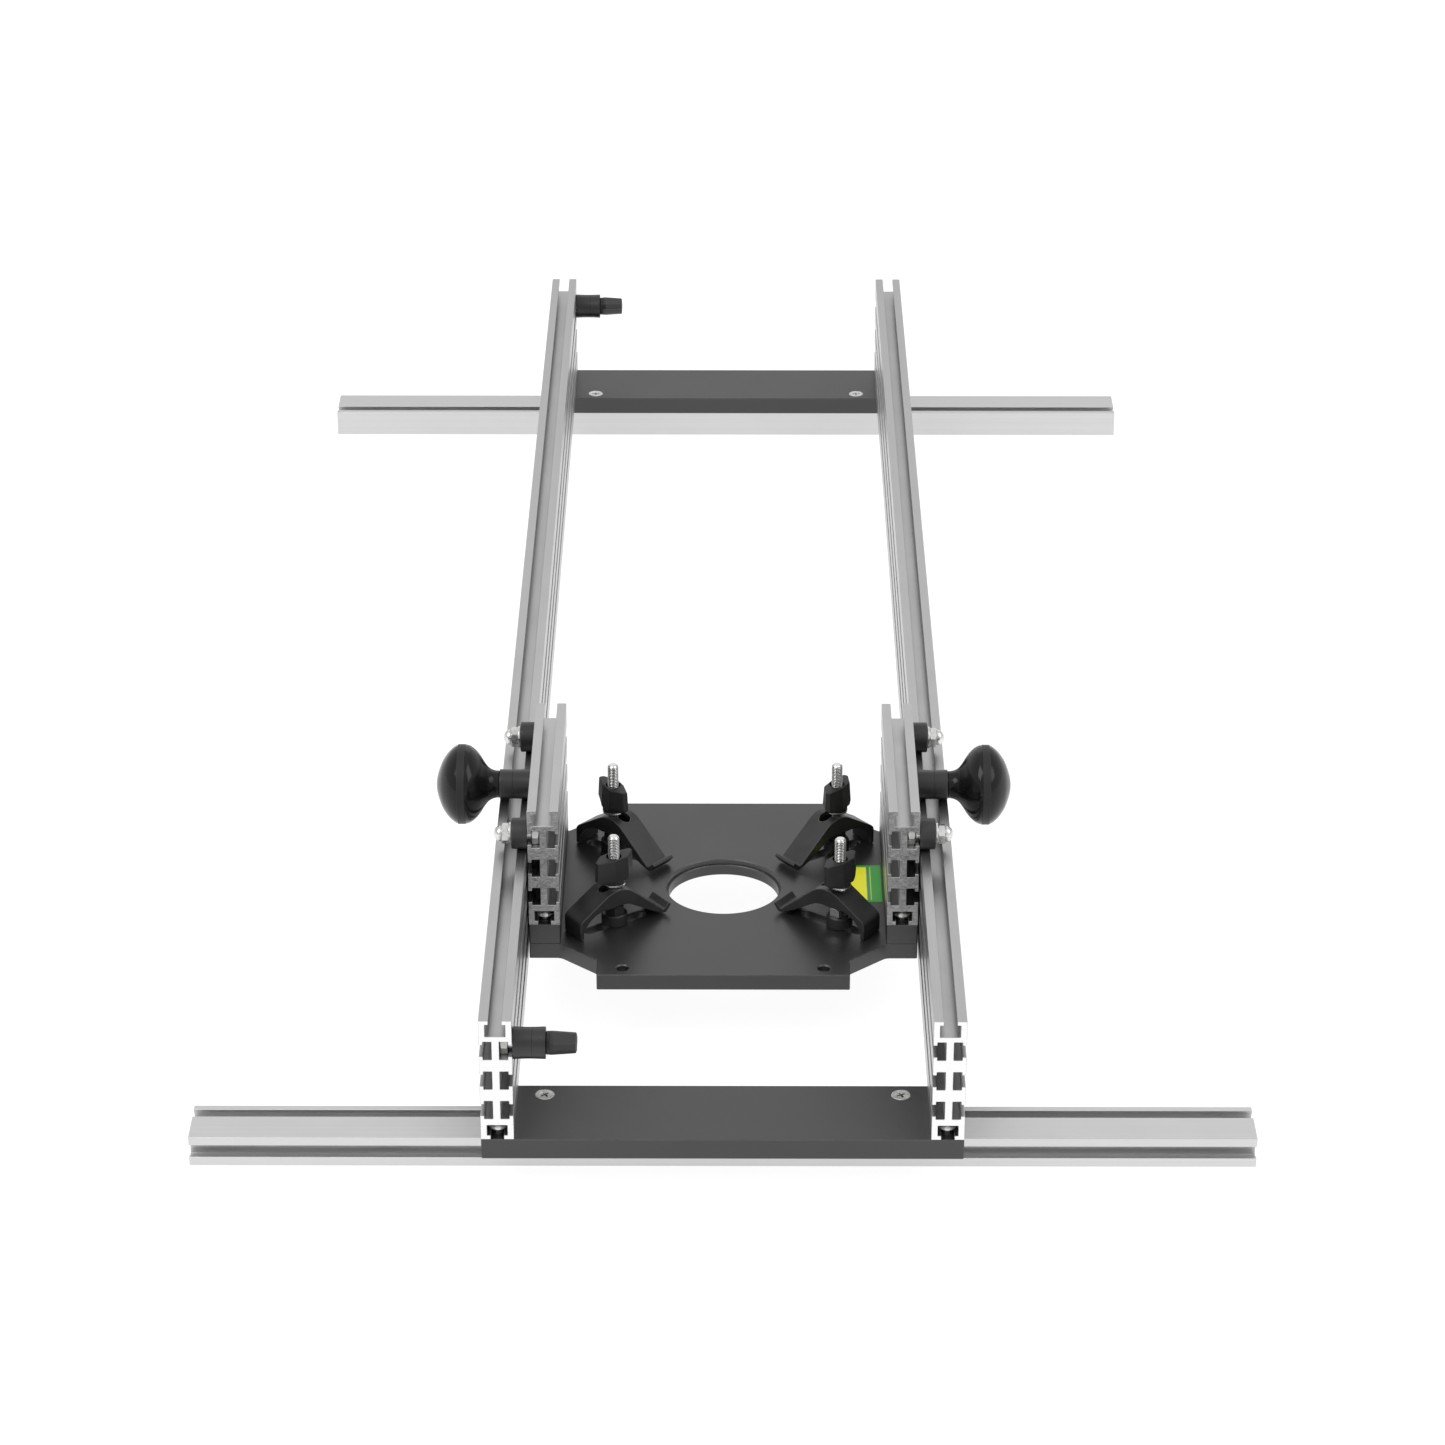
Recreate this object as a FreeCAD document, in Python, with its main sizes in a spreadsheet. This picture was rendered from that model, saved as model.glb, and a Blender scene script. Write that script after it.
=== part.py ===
import FreeCAD, Part
import math
import os
import Sketcher

# Router sled: two tall T-slot rails on two cross plates and two low cross rails. A router
# carriage rolls along the rails on four rollers and holds the router with four clamps.
# +X is to the right, +Y to the rear, +Z up. The origin is the centre of the footprint.

Vector = FreeCAD.Vector
Rotation = FreeCAD.Rotation
Placement = FreeCAD.Placement
X_AXIS = Vector(1, 0, 0)
Y_AXIS = Vector(0, 1, 0)
Z_AXIS = Vector(0, 0, 1)

LEFT = -1
RIGHT = 1
FRONT = -1
REAR = 1
SIDE_NAMES = {LEFT: "left", RIGHT: "right"}
END_NAMES = {FRONT: "front", REAR: "rear"}
HEXAGON = 6
HALF_FLAT = Rotation(Z_AXIS, 30)

DIMENSIONS = {
    # Tall rail extrusion, used for the long rails and for the short rails of the carriage
    "rail_width": 22,
    "rail_height": 90,
    "long_rail_length": 1370,
    "short_rail_length": 172,
    "slot_mouth": 8.8,
    "slot_undercut": 13.6,
    "side_lip": 2.7,
    "side_undercut_depth": 5.8,
    "side_slot_pitch": 22.5,
    "top_lip": 3.0,
    "top_undercut_depth": 8.9,
    "bottom_lip": 3.0,
    "bottom_undercut_depth": 7.8,
    # Base: low cross rails and cross plates
    "frame_width": 320,
    "cross_rail_length": 715,
    "cross_rail_depth": 41.5,
    "cross_rail_height": 22,
    "cross_rail_setback": 26.5,
    "cross_top_slot_inset": 9.8,
    "cross_side_slot_height": 11.2,
    "cross_lip": 3.0,
    "cross_undercut_depth": 6.0,
    "cross_plate_depth": 70,
    "cross_plate_thickness": 15,
    "plate_screw_spacing": 239.6,
    "rail_bolt_inset": 13,
    # Carriage
    "carriage_rest": -365,
    "plate_thickness": 12,
    "plate_length": 262,
    "plate_nose_width": 177,
    "plate_nose_start": 110,
    "plate_wing_start": 115,
    "plate_corner": 1,
    "plate_wing_corner": 8,
    "router_hole_radius": 39.75,
    "router_rebate_radius": 41.25,
    "router_rebate_depth": 4,
    "nose_hole_radius": 4.25,
    "nose_hole_x": 70.5,
    "nose_hole_y": 121,
    "clamp_slot_width": 8.6,
    "clamp_slot_length": 52,
    "side_gap": 1.0,
    "spacer_thickness": 15,
    "carriage_bolt_reach": 74,
    "label_width": 28,
    "label_length": 56,
    "label_thickness": 0.15,
    "label_centre_y": 4,
    # Rollers and their fasteners
    "roller_radius": 10.95,
    "roller_axis_rise": 11.0,
    "roller_width": 11,
    "roller_chamfer": 0.8,
    "roller_bore_radius": 5.05,
    "roller_end_gap": 0.25,
    "roller_reach": 76,
    "bush_radius": 5.0,
    # Metric 8 mm fasteners
    "bolt_radius": 4.0,
    "thread_bore_radius": 4.06,
    "bolt_hole_radius": 4.25,
    "hex_circumradius": 7.5,
    "hex_head_height": 5.2,
    "nut_height": 6.5,
    "washer_radius": 8.0,
    "washer_thickness": 1.6,
    "dome_head_radius": 6.5,
    "dome_head_height": 4.6,
    "dome_nut_hex_height": 5.0,
    "dome_nut_radius": 5.6,
    # Metric 6 mm countersunk screws and their slot nuts
    "screw_radius": 3.0,
    "screw_head_radius": 6.6,
    "screw_head_height": 3.6,
    "screw_length": 23.4,
    "screw_recess_length": 6.8,
    "screw_recess_width": 1.4,
    "screw_recess_depth": 2.4,
    "slot_nut_size": 13,
    "slot_nut_height": 4.6,
    # Sleeves, handle knobs and wing nuts
    "sleeve_radius": 10.75,
    "sleeve_length": 23,
    "sleeve_waist_arc": 265,
    "knob_neck_radius": 9.8,
    "knob_throat_radius": 18.0,
    "knob_throat_height": 12.0,
    "knob_rim_radius": 28.6,
    "knob_rim_height": 24.0,
    "knob_band_height": 5.6,
    "knob_flare_arc": 13.0,
    "knob_back_arc": 15.5,
    "knob_dome_arc": 33.8,
    "knob_thread_depth": 20,
    "wing_neck_radius": 7.85,
    "wing_neck_height": 2.4,
    "wing_shoulder_height": 5.5,
    "wing_height": 20.0,
    "wing_half_length": 17.0,
    "wing_end_width": 9.0,
    "wing_half_waist": 7.9,
    "wing_waist_offset": 4.0,
    "wing_bore_mouth_radius": 5.8,
    "wing_bore_mouth_depth": 5.0,
    # Clamps
    "clamp_x": 78,
    "clamp_y": 55,
    "stud_height": 69.5,
    "collar_radius": 9.3,
    "collar_height": 8.8,
    "collar_chamfer": 0.8,
    "arm_width": 21,
    "arm_flange": 2.5,
    "arm_roof_thickness": 2.7,
    "arm_lift": 0.4,
    "arm_foot_reach": 34.5,
    "arm_foot_wall": 3.0,
    "arm_foot_height": 14.2,
    "arm_crown_height": 31.5,
    "arm_crown_arc": 9.0,
    "arm_slot_length": 20.4,
    "arm_slot_offset": 1.5,
    "arm_tip_reach": 43,
    "moving_gap": 0.1,
    # End stops on the left long rail
    "stop_inset": 11,
    "stop_bolt_length": 42,
    "stop_sleeve_length": 21.8,
}

# Angle in degrees at which each wing nut came to rest, about its own bolt
WING_NUT_TURN = {
    (FRONT, LEFT): 38,
    (FRONT, RIGHT): 45,
    (REAR, LEFT): -64,
    (REAR, RIGHT): 58,
}
# How far each clamp's stud stands outward from the middle of its slot
STUD_SHIFT = {
    (FRONT, LEFT): -0.5,
    (FRONT, RIGHT): 5.5,
    (REAR, LEFT): 3.3,
    (REAR, RIGHT): 5.5,
}
# How far each arm is pushed inward on its stud
ARM_SHIFT = {
    (FRONT, LEFT): -1.0,
    (FRONT, RIGHT): 7.0,
    (REAR, LEFT): 6.5,
    (REAR, RIGHT): 7.0,
}
# Angle in degrees of each arm from the line of its slot
ARM_TURN = {
    (FRONT, LEFT): 0,
    (FRONT, RIGHT): 0,
    (REAR, LEFT): -6,
    (REAR, RIGHT): 4,
}
STOP_KNOB_TURN = 62


# ---------------------------------------------------------------- sheet and sizes

class Size:
    """A length that carries both its value and the sheet formula behind it."""

    def __init__(self, value, formula):
        self.value = float(value)
        self.formula = formula

    def __add__(self, other):
        other = as_size(other)
        return Size(self.value + other.value, f"({self.formula} + {other.formula})")

    def __sub__(self, other):
        other = as_size(other)
        return Size(self.value - other.value, f"({self.formula} - {other.formula})")

    def __mul__(self, factor):
        return Size(self.value * factor, f"({self.formula} * {factor:g})")

    def __truediv__(self, divisor):
        return Size(self.value / divisor, f"({self.formula} / {divisor:g})")

    def __neg__(self):
        return self * -1


def as_size(number):
    if isinstance(number, Size):
        return number
    return Size(number, f"({number:g})")


class Sizes:
    """Every sheet cell as an attribute."""


doc = FreeCAD.newDocument("router_sled")
sheet = doc.addObject("Spreadsheet::Sheet", "Dimensions")
size = Sizes()
for row, (alias, number) in enumerate(DIMENSIONS.items(), start=1):
    sheet.set(f"A{row}", alias.replace("_", " "))
    sheet.set(f"B{row}", str(number))
    sheet.setAlias(f"B{row}", alias)
    setattr(size, alias, Size(number, f"Dimensions.{alias}"))
doc.recompute()

ZERO = as_size(0)
sub_parts = []


def bind(item, property_name, length):
    item.setExpression(property_name, as_size(length).formula)


def keep(item, name, placement=None):
    """Register a finished sub-part under its node name."""
    item.Label = name
    if placement is not None:
        item.Placement = placement
    sub_parts.append(item)
    return item


def at(x=0.0, y=0.0, z=0.0, rotation=None):
    return Placement(Vector(x, y, z), rotation or Rotation())


# ---------------------------------------------------------------- sketches and features

def new_sketch(body, plane, height=None):
    sketch = body.newObject("Sketcher::SketchObject", body.Name + "_sketch")
    support = [item for item in body.Origin.OriginFeatures if item.Role == plane]
    sketch.AttachmentSupport = [(support[0], "")]
    sketch.MapMode = "FlatFace"
    if height is not None:
        sketch.AttachmentOffset = at(z=height.value)
        sketch.setExpression("AttachmentOffset.Base.z", height.formula)
    return sketch


def pin_point(sketch, edge, end, x, y):
    """Hold one end of an edge at (x, y) with named distances, or on an axis."""
    for kind, length, axis in (("DistanceX", x, -2), ("DistanceY", y, -1)):
        if abs(length.value) < 1e-9:
            sketch.addConstraint(Sketcher.Constraint("PointOnObject", edge, end, axis))
        else:
            rule = Sketcher.Constraint(kind, -1, 1, edge, end, length.value)
            index = sketch.addConstraint(rule)
            sketch.setExpression(f"Constraints[{index}]", length.formula)


def arc_edge(start, finish, radius):
    """Short arc from start to finish. A positive radius turns left."""
    chord = finish - start
    side = math.copysign(1, radius)
    left = Vector(-chord.y, chord.x, 0) / chord.Length
    drop = math.sqrt(radius ** 2 - (chord.Length / 2) ** 2)
    centre = (start + finish) / 2 + left * (drop * side)
    angles = [math.atan2(point.y - centre.y, point.x - centre.x) for point in (start, finish)]
    if radius < 0:
        angles.reverse()
    return Part.ArcOfCircle(Part.Circle(centre, Z_AXIS, abs(radius)), *angles)


def outline(sketch, corners):
    """Closed outline. A third entry at a corner makes the edge that leaves it an arc."""
    first = sketch.GeometryCount
    corners = [tuple(as_size(entry) for entry in corner) for corner in corners]
    ends = []
    for index, corner in enumerate(corners):
        following = corners[(index + 1) % len(corners)]
        start = Vector(corner[0].value, corner[1].value, 0)
        finish = Vector(following[0].value, following[1].value, 0)
        if len(corner) == 3:
            sketch.addGeometry(arc_edge(start, finish, corner[2].value))
            ends.append((1, 2) if corner[2].value > 0 else (2, 1))
        else:
            sketch.addGeometry(Part.LineSegment(start, finish))
            ends.append((1, 2))
    for index, corner in enumerate(corners):
        following = (index + 1) % len(corners)
        joint = Sketcher.Constraint("Coincident", first + index, ends[index][1],
                                    first + following, ends[following][0])
        sketch.addConstraint(joint)
        pin_point(sketch, first + index, ends[index][0], corner[0], corner[1])
        if len(corner) == 3:
            reach = corner[2] if corner[2].value > 0 else -corner[2]
            rule = Sketcher.Constraint("Radius", first + index, reach.value)
            sketch.setExpression(f"Constraints[{sketch.addConstraint(rule)}]", reach.formula)


def new_body(name):
    return doc.addObject("PartDesign::Body", name)


def pad(body, sketch, length, symmetric=False):
    feature = body.newObject("PartDesign::Pad", body.Name + "_pad")
    feature.Profile = sketch
    if symmetric:
        feature.SideType = "Symmetric"
    bind(feature, "Length", length)
    return feature


def pocket(body, sketch, length=None):
    """Cut both ways from the sketch, right through or over a length in all."""
    feature = body.newObject("PartDesign::Pocket", body.Name + "_pocket")
    feature.Profile = sketch
    feature.SideType = "Symmetric"
    if length is None:
        feature.Type = "ThroughAll"
    else:
        bind(feature, "Length", length)
    return feature


def turned(name, corners):
    """Solid of revolution about local Z from a half outline of (radius, height)."""
    body = new_body(name)
    sketch = new_sketch(body, "XZ_Plane")
    outline(sketch, corners)
    feature = body.newObject("PartDesign::Revolution", name + "_turned")
    feature.Profile = sketch
    feature.ReferenceAxis = (sketch, ["V_Axis"])
    feature.Angle = 360
    return body


def tube(name, outer, inner, length, chamfer=None):
    """Ring with a bore, its outer edges chamfered if asked."""
    if chamfer is None:
        return turned(name, [(inner, 0), (outer, 0), (outer, length), (inner, length)])
    return turned(name, [(inner, 0), (outer - chamfer, 0), (outer, chamfer), (outer, length - chamfer),
                         (outer - chamfer, length), (inner, length)])


# ---------------------------------------------------------------- primitives and booleans

def cylinder(name, radius, height, placement=None):
    item = doc.addObject("Part::Cylinder", name)
    bind(item, "Radius", radius)
    bind(item, "Height", height)
    item.Placement = placement or at()
    return item


def cone(name, bottom_radius, top_radius, height, placement=None):
    item = doc.addObject("Part::Cone", name)
    bind(item, "Radius1", bottom_radius)
    bind(item, "Radius2", top_radius)
    bind(item, "Height", height)
    item.Placement = placement or at()
    return item


def block(name, length, width, height, placement=None):
    """Box centred on local X and Y that rises from local Z = 0."""
    item = doc.addObject("Part::Box", name)
    bind(item, "Length", length)
    bind(item, "Width", width)
    bind(item, "Height", height)
    centred = at(-as_size(length).value / 2, -as_size(width).value / 2)
    item.Placement = (placement or at()).multiply(centred)
    return item


def hexagon(name, height, placement=None):
    item = doc.addObject("Part::Prism", name)
    item.Polygon = HEXAGON
    bind(item, "Circumradius", size.hex_circumradius)
    bind(item, "Height", height)
    item.Placement = placement or at()
    return item


def joined(name, items):
    item = doc.addObject("Part::MultiFuse", name)
    item.Shapes = items
    return item


def cut(name, base, tools):
    item = doc.addObject("Part::Cut", name)
    item.Base = base
    item.Tool = tools[0] if len(tools) == 1 else joined(name + "_cutters", tools)
    return item


def group(name, items):
    """Identical fasteners kept together as separate solids."""
    item = doc.addObject("Part::Compound", name)
    item.Links = items
    return keep(item, name)


# ---------------------------------------------------------------- fasteners, axis along local Z

def hex_bolt(name, length, placement):
    """Head below local Z = 0, its flats square to local X, and shank above it."""
    head = hexagon(name + "_head", size.hex_head_height,
                   at(z=-size.hex_head_height.value, rotation=HALF_FLAT))
    shank = cylinder(name + "_shank", size.bolt_radius, length)
    bolt = joined(name, [head, shank])
    bolt.Placement = placement
    return bolt


def dome_bolt(name, length, placement):
    """Low domed head above local Z = 0, shank hanging below it."""
    radius = size.dome_head_radius
    height = size.dome_head_height
    dome_arc = Size((radius.value ** 2 + height.value ** 2) / (2 * height.value),
                    f"(({radius.formula}^2 + {height.formula}^2) / (2 * {height.formula}))")
    bolt = turned(name, [(0, -length), (size.bolt_radius, -length), (size.bolt_radius, 0),
                         (radius, 0, dome_arc), (0, height)])
    bolt.Placement = placement
    return bolt


def hex_nut(name, height, placement):
    nut = cut(name, hexagon(name + "_body", height),
              [cylinder(name + "_bore", size.thread_bore_radius, height)])
    nut.Placement = placement
    return nut


def dome_nut(name, placement):
    """Hex nut closed by a dome, its blind thread open at local Z = 0."""
    hex_height = size.dome_nut_hex_height
    radius = size.dome_nut_radius
    dome = turned(name + "_dome", [(0, 0), (radius, 0), (radius, hex_height, radius),
                                   (0, hex_height + radius)])
    blank = joined(name + "_blank", [hexagon(name + "_body", hex_height), dome])
    bore_depth = hex_height + 2
    nut = cut(name, blank, [cylinder(name + "_bore", size.thread_bore_radius, bore_depth)])
    nut.Placement = placement
    return nut


def countersunk_screw(name, placement):
    """Head's flat top at local Z = 0, shank below, cross recess in the head."""
    head = cone(name + "_head", size.screw_radius, size.screw_head_radius, size.screw_head_height,
                at(z=-size.screw_head_height.value))
    shank = cylinder(name + "_shank", size.screw_radius, size.screw_length,
                     at(z=-size.screw_length.value))
    recess_floor = at(z=-size.screw_recess_depth.value)
    recess = [block(name + "_recess_a", size.screw_recess_length, size.screw_recess_width,
                    size.screw_recess_depth, recess_floor),
              block(name + "_recess_b", size.screw_recess_width, size.screw_recess_length,
                    size.screw_recess_depth, recess_floor)]
    screw = cut(name, joined(name + "_blank", [head, shank]), recess)
    screw.Placement = placement
    return screw


# ---------------------------------------------------------------- T-slot extrusions

def t_slot(mouth_centre, face, lip, undercut_depth, inward, upright):
    """Outline of a T-slot. The mouth lies on the face; upright slots open along the sketch's y."""
    half_mouth = size.slot_mouth / 2
    half_undercut = size.slot_undercut / 2
    throat = face + lip * inward
    floor = face + (lip + undercut_depth) * inward
    steps = [(face, -half_mouth), (throat, -half_mouth), (throat, -half_undercut),
             (floor, -half_undercut), (floor, half_undercut), (throat, half_undercut),
             (throat, half_mouth), (face, half_mouth)]
    if upright:
        return [(mouth_centre + across, depth) for depth, across in steps]
    return [(depth, mouth_centre + across) for depth, across in steps]


def tall_rail(name, length, placement):
    """Tall extrusion along local Y: three T-slots in each side, one on top, one below."""
    body = new_body(name)
    half = size.rail_width / 2
    height = size.rail_height
    blank = new_sketch(body, "XZ_Plane")
    outline(blank, [(-half, 0), (half, 0), (half, height), (-half, height)])
    pad(body, blank, length, symmetric=True)
    for level in (1, 2, 3):
        centre = size.side_slot_pitch * level
        slots = new_sketch(body, "XZ_Plane")
        for side in (LEFT, RIGHT):
            outline(slots, t_slot(centre, half * side, size.side_lip, size.side_undercut_depth,
                                  -side, upright=False))
        pocket(body, slots)
    ends = new_sketch(body, "XZ_Plane")
    outline(ends, t_slot(ZERO, height, size.top_lip, size.top_undercut_depth, -1, upright=True))
    outline(ends, t_slot(ZERO, ZERO, size.bottom_lip, size.bottom_undercut_depth, 1, upright=True))
    pocket(body, ends)
    return keep(body, name, placement)


def cross_rail(name, placement):
    """Low extrusion along local X. Its outer face is at local Y = 0, its inner face at +Y."""
    body = new_body(name)
    depth = size.cross_rail_depth
    height = size.cross_rail_height
    blank = new_sketch(body, "YZ_Plane")
    outline(blank, [(0, 0), (depth, 0), (depth, height), (0, height)])
    pad(body, blank, size.cross_rail_length, symmetric=True)
    slots = new_sketch(body, "YZ_Plane")
    outline(slots, t_slot(depth - size.cross_top_slot_inset, height, size.cross_lip,
                          size.cross_undercut_depth, -1, upright=True))
    outline(slots, t_slot(size.cross_side_slot_height, ZERO, size.cross_lip,
                          size.cross_undercut_depth, 1, upright=False))
    pocket(body, slots)
    return keep(body, name, placement)


# ---------------------------------------------------------------- levels and places

rail_x = (size.frame_width.value - size.rail_width.value) / 2
inner_face_x = size.frame_width.value / 2 - size.rail_width.value
rail_end_y = size.long_rail_length.value / 2
base_plate_z = size.cross_rail_height.value
long_rail_z = base_plate_z + size.cross_plate_thickness.value
long_rail_top = long_rail_z + size.rail_height.value
axle_z = long_rail_top + size.roller_axis_rise.value
short_rail_z = axle_z - 3 * size.side_slot_pitch.value
spacer_z = short_rail_z - size.spacer_thickness.value
router_plate_z = spacer_z - size.plate_thickness.value
clamp_z = spacer_z
carriage_y = size.carriage_rest.value
short_face_x = inner_face_x - size.side_gap.value
short_rail_x = short_face_x - size.rail_width.value / 2
cross_face_y = rail_end_y - size.cross_rail_setback.value
cross_plate_y = rail_end_y - size.cross_plate_depth.value / 2
screw_y = cross_face_y - size.cross_rail_depth.value + size.cross_top_slot_inset.value
rail_bolt_y = rail_end_y - size.rail_bolt_inset.value
TURN_ROUND = Rotation(Z_AXIS, 180)


def outward(side):
    """Rotation that takes local Z to the left or the right."""
    return Rotation(Y_AXIS, 90 * side)


# ---------------------------------------------------------------- base frame

def build_base():
    for side in (LEFT, RIGHT):
        tall_rail("rail_" + SIDE_NAMES[side], size.long_rail_length, at(rail_x * side, 0, long_rail_z))
    for end in (FRONT, REAR):
        turn = TURN_ROUND if end == REAR else Rotation()
        cross_rail("cross_rail_" + END_NAMES[end], at(0, cross_face_y * end, 0, turn))
        cross_plate("cross_plate_" + END_NAMES[end], at(0, cross_plate_y * end, base_plate_z, turn))
    base_fasteners()


def cross_plate(name, placement):
    """Plate seen with its outer edge at -Y: two countersunk holes, two tapped holes."""
    thickness = size.cross_plate_thickness
    blank = block(name + "_blank", size.frame_width, size.cross_plate_depth, thickness)
    tools = []
    for side in (LEFT, RIGHT):
        x = size.plate_screw_spacing.value / 2 * side
        y = cross_plate_y - screw_y
        tools.append(cylinder(name + "_screw_hole", size.screw_radius + 0.3, thickness, at(x, y)))
        sink_z = thickness.value - size.screw_head_height.value
        tools.append(cone(name + "_countersink", size.screw_radius, size.screw_head_radius,
                          size.screw_head_height, at(x, y, sink_z)))
        tools.append(cylinder(name + "_tapped_hole", size.thread_bore_radius, thickness,
                              at(rail_x * side, cross_plate_y - rail_bolt_y)))
    return keep(cut(name, blank, tools), name, placement)


def base_fasteners():
    screws = []
    slot_nuts = []
    bolts = []
    slot_ceiling = base_plate_z - size.cross_lip.value
    nut_z = slot_ceiling - size.slot_nut_height.value
    bolt_seat = long_rail_z + size.bottom_lip.value
    bolt_length = size.bottom_lip + size.cross_plate_thickness - 1
    for end in (FRONT, REAR):
        for side in (LEFT, RIGHT):
            tag = f"{END_NAMES[end]}_{SIDE_NAMES[side]}"
            x = size.plate_screw_spacing.value / 2 * side
            screws.append(countersunk_screw("plate_screw_" + tag, at(x, screw_y * end, long_rail_z)))
            blank = block("slot_nut_blank_" + tag, size.slot_nut_size, size.slot_nut_size - 0.2,
                          size.slot_nut_height)
            thread = cylinder("slot_nut_thread_" + tag, size.screw_radius + 0.06,
                              size.slot_nut_height)
            slot_nut = cut("slot_nut_" + tag, blank, [thread])
            slot_nut.Placement = at(x, screw_y * end, nut_z)
            slot_nuts.append(slot_nut)
            place = at(rail_x * side, rail_bolt_y * end, bolt_seat)
            bolts.append(dome_bolt("rail_bolt_" + tag, bolt_length, place))
    group("cross_plate_screws", screws)
    group("cross_plate_slot_nuts", slot_nuts)
    group("rail_bolts", bolts)


# ---------------------------------------------------------------- carriage

def build_carriage():
    router_plate()
    for side in (LEFT, RIGHT):
        spacer("spacer_" + SIDE_NAMES[side], at(short_rail_x * side, carriage_y, spacer_z))
        tall_rail("short_rail_" + SIDE_NAMES[side], size.short_rail_length,
                  at(short_rail_x * side, carriage_y, short_rail_z))
    carriage_fasteners()
    label_x = short_face_x - size.rail_width.value - size.label_width.value / 2 - 1
    label = block("plate_label", size.label_width, size.label_length, size.label_thickness)
    keep(label, "plate_label", at(label_x, carriage_y + size.label_centre_y.value, spacer_z)
         .multiply(label.Placement))
    build_handles()
    build_rollers()


def plate_outline():
    """Right half from front to rear, then the left half back to the front."""
    nose = size.plate_nose_width / 2
    tip = size.plate_length / 2
    start = size.plate_nose_start
    wing_x = size.plate_wing_start
    wing_y = size.short_rail_length / 2
    edge_x = size.frame_width / 2 - size.rail_width - size.side_gap
    quarter = [(nose, tip), (nose, start), (wing_x, wing_y), (edge_x, wing_y)]
    right_front = [(x, -y) for x, y in quarter]
    right_rear = list(reversed(quarter))
    left_rear = [(-x, y) for x, y in quarter]
    left_front = [(-x, -y) for x, y in reversed(quarter)]
    return right_front + right_rear + left_rear + left_front


def upright_edges(shape, corners):
    """Names of the upright edges that stand at the given (x, y) corners."""
    names = []
    for index, edge in enumerate(shape.Edges, start=1):
        start = edge.Vertexes[0].Point
        finish = edge.Vertexes[-1].Point
        upright = math.hypot(start.x - finish.x, start.y - finish.y) < 1e-6
        near = any(math.hypot(start.x - x, start.y - y) < 1e-3 for x, y in corners)
        if upright and near:
            names.append(f"Edge{index}")
    return names


def rounded(body, base, corners, radius):
    feature = body.newObject("PartDesign::Fillet", body.Name + "_rounded")
    feature.Base = (base, upright_edges(base.Shape, corners))
    bind(feature, "Radius", radius)
    doc.recompute()
    return feature


def every_corner(x, y):
    return [(x.value * side, y.value * end) for side in (LEFT, RIGHT) for end in (FRONT, REAR)]


def router_plate():
    name = "router_plate"
    body = new_body(name + "_body")
    sketch = new_sketch(body, "XY_Plane")
    outline(sketch, plate_outline())
    thickness = size.plate_thickness
    blank = pad(body, sketch, thickness)
    doc.recompute()
    nose_corners = every_corner(size.plate_nose_width / 2, size.plate_length / 2)
    edge_x = size.frame_width / 2 - size.rail_width - size.side_gap
    wing_corners = every_corner(edge_x, size.short_rail_length / 2)
    blank = rounded(body, blank, nose_corners + wing_corners, size.plate_corner)
    rounded(body, blank, every_corner(size.plate_wing_start, size.short_rail_length / 2),
            size.plate_wing_corner)
    rebate_z = thickness.value - size.router_rebate_depth.value
    tools = [cylinder("router_hole", size.router_hole_radius, thickness),
             cylinder("router_rebate", size.router_rebate_radius, size.router_rebate_depth,
                      at(z=rebate_z))]
    for side in (LEFT, RIGHT):
        nose_hole = at(size.nose_hole_x.value * side, -size.nose_hole_y.value)
        tools.append(cylinder("nose_hole", size.nose_hole_radius, thickness, nose_hole))
        for end in (FRONT, REAR):
            bolt_place = at(short_rail_x * side, size.carriage_bolt_reach.value * end)
            tools.append(cylinder("tapped_hole", size.thread_bore_radius, thickness, bolt_place))
            tools += clamp_slot(side, end)
    keep(cut(name, body, tools), name, at(0, carriage_y, router_plate_z))


def clamp_slot(side, end):
    """Round-ended slot that points at the router hole, with the clamp at its middle."""
    thickness = size.plate_thickness
    straight = size.clamp_slot_length - size.clamp_slot_width
    middle = at(size.clamp_x.value * side, size.clamp_y.value * end, 0,
                Rotation(Z_AXIS, inward_angle(side, end)))
    parts = [block("slot_middle", straight, size.clamp_slot_width, thickness, middle)]
    for way in (-1, 1):
        tip = middle.multiply(at(straight.value / 2 * way))
        parts.append(cylinder("slot_end", size.clamp_slot_width / 2, thickness, tip))
    return parts


def inward_angle(side, end):
    """Direction from a clamp to the middle of the router hole, in degrees."""
    return math.degrees(math.atan2(-size.clamp_y.value * end, -size.clamp_x.value * side))


def spacer(name, placement):
    thickness = size.spacer_thickness
    blank = block(name + "_blank", size.rail_width, size.short_rail_length, thickness)
    tools = [cylinder(name + "_hole", size.bolt_hole_radius, thickness,
                      at(0, size.carriage_bolt_reach.value * end)) for end in (FRONT, REAR)]
    return keep(cut(name, blank, tools), name, placement)


def carriage_fasteners():
    bolts = []
    length = size.bottom_lip + size.spacer_thickness + (size.plate_thickness - 1)
    for side in (LEFT, RIGHT):
        for end in (FRONT, REAR):
            tag = f"{END_NAMES[end]}_{SIDE_NAMES[side]}"
            x = short_rail_x * side
            y = carriage_y + size.carriage_bolt_reach.value * end
            seat = short_rail_z + size.bottom_lip.value
            bolts.append(dome_bolt("carriage_bolt_" + tag, length, at(x, y, seat)))
    group("carriage_bolts", bolts)


# ---------------------------------------------------------------- handles

def sleeve(name, length):
    """Black plastic sleeve with a slight waist."""
    return turned(name, [(size.bolt_hole_radius, 0), (size.sleeve_radius, 0, -size.sleeve_waist_arc),
                         (size.sleeve_radius, length), (size.bolt_hole_radius, length)])


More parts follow.
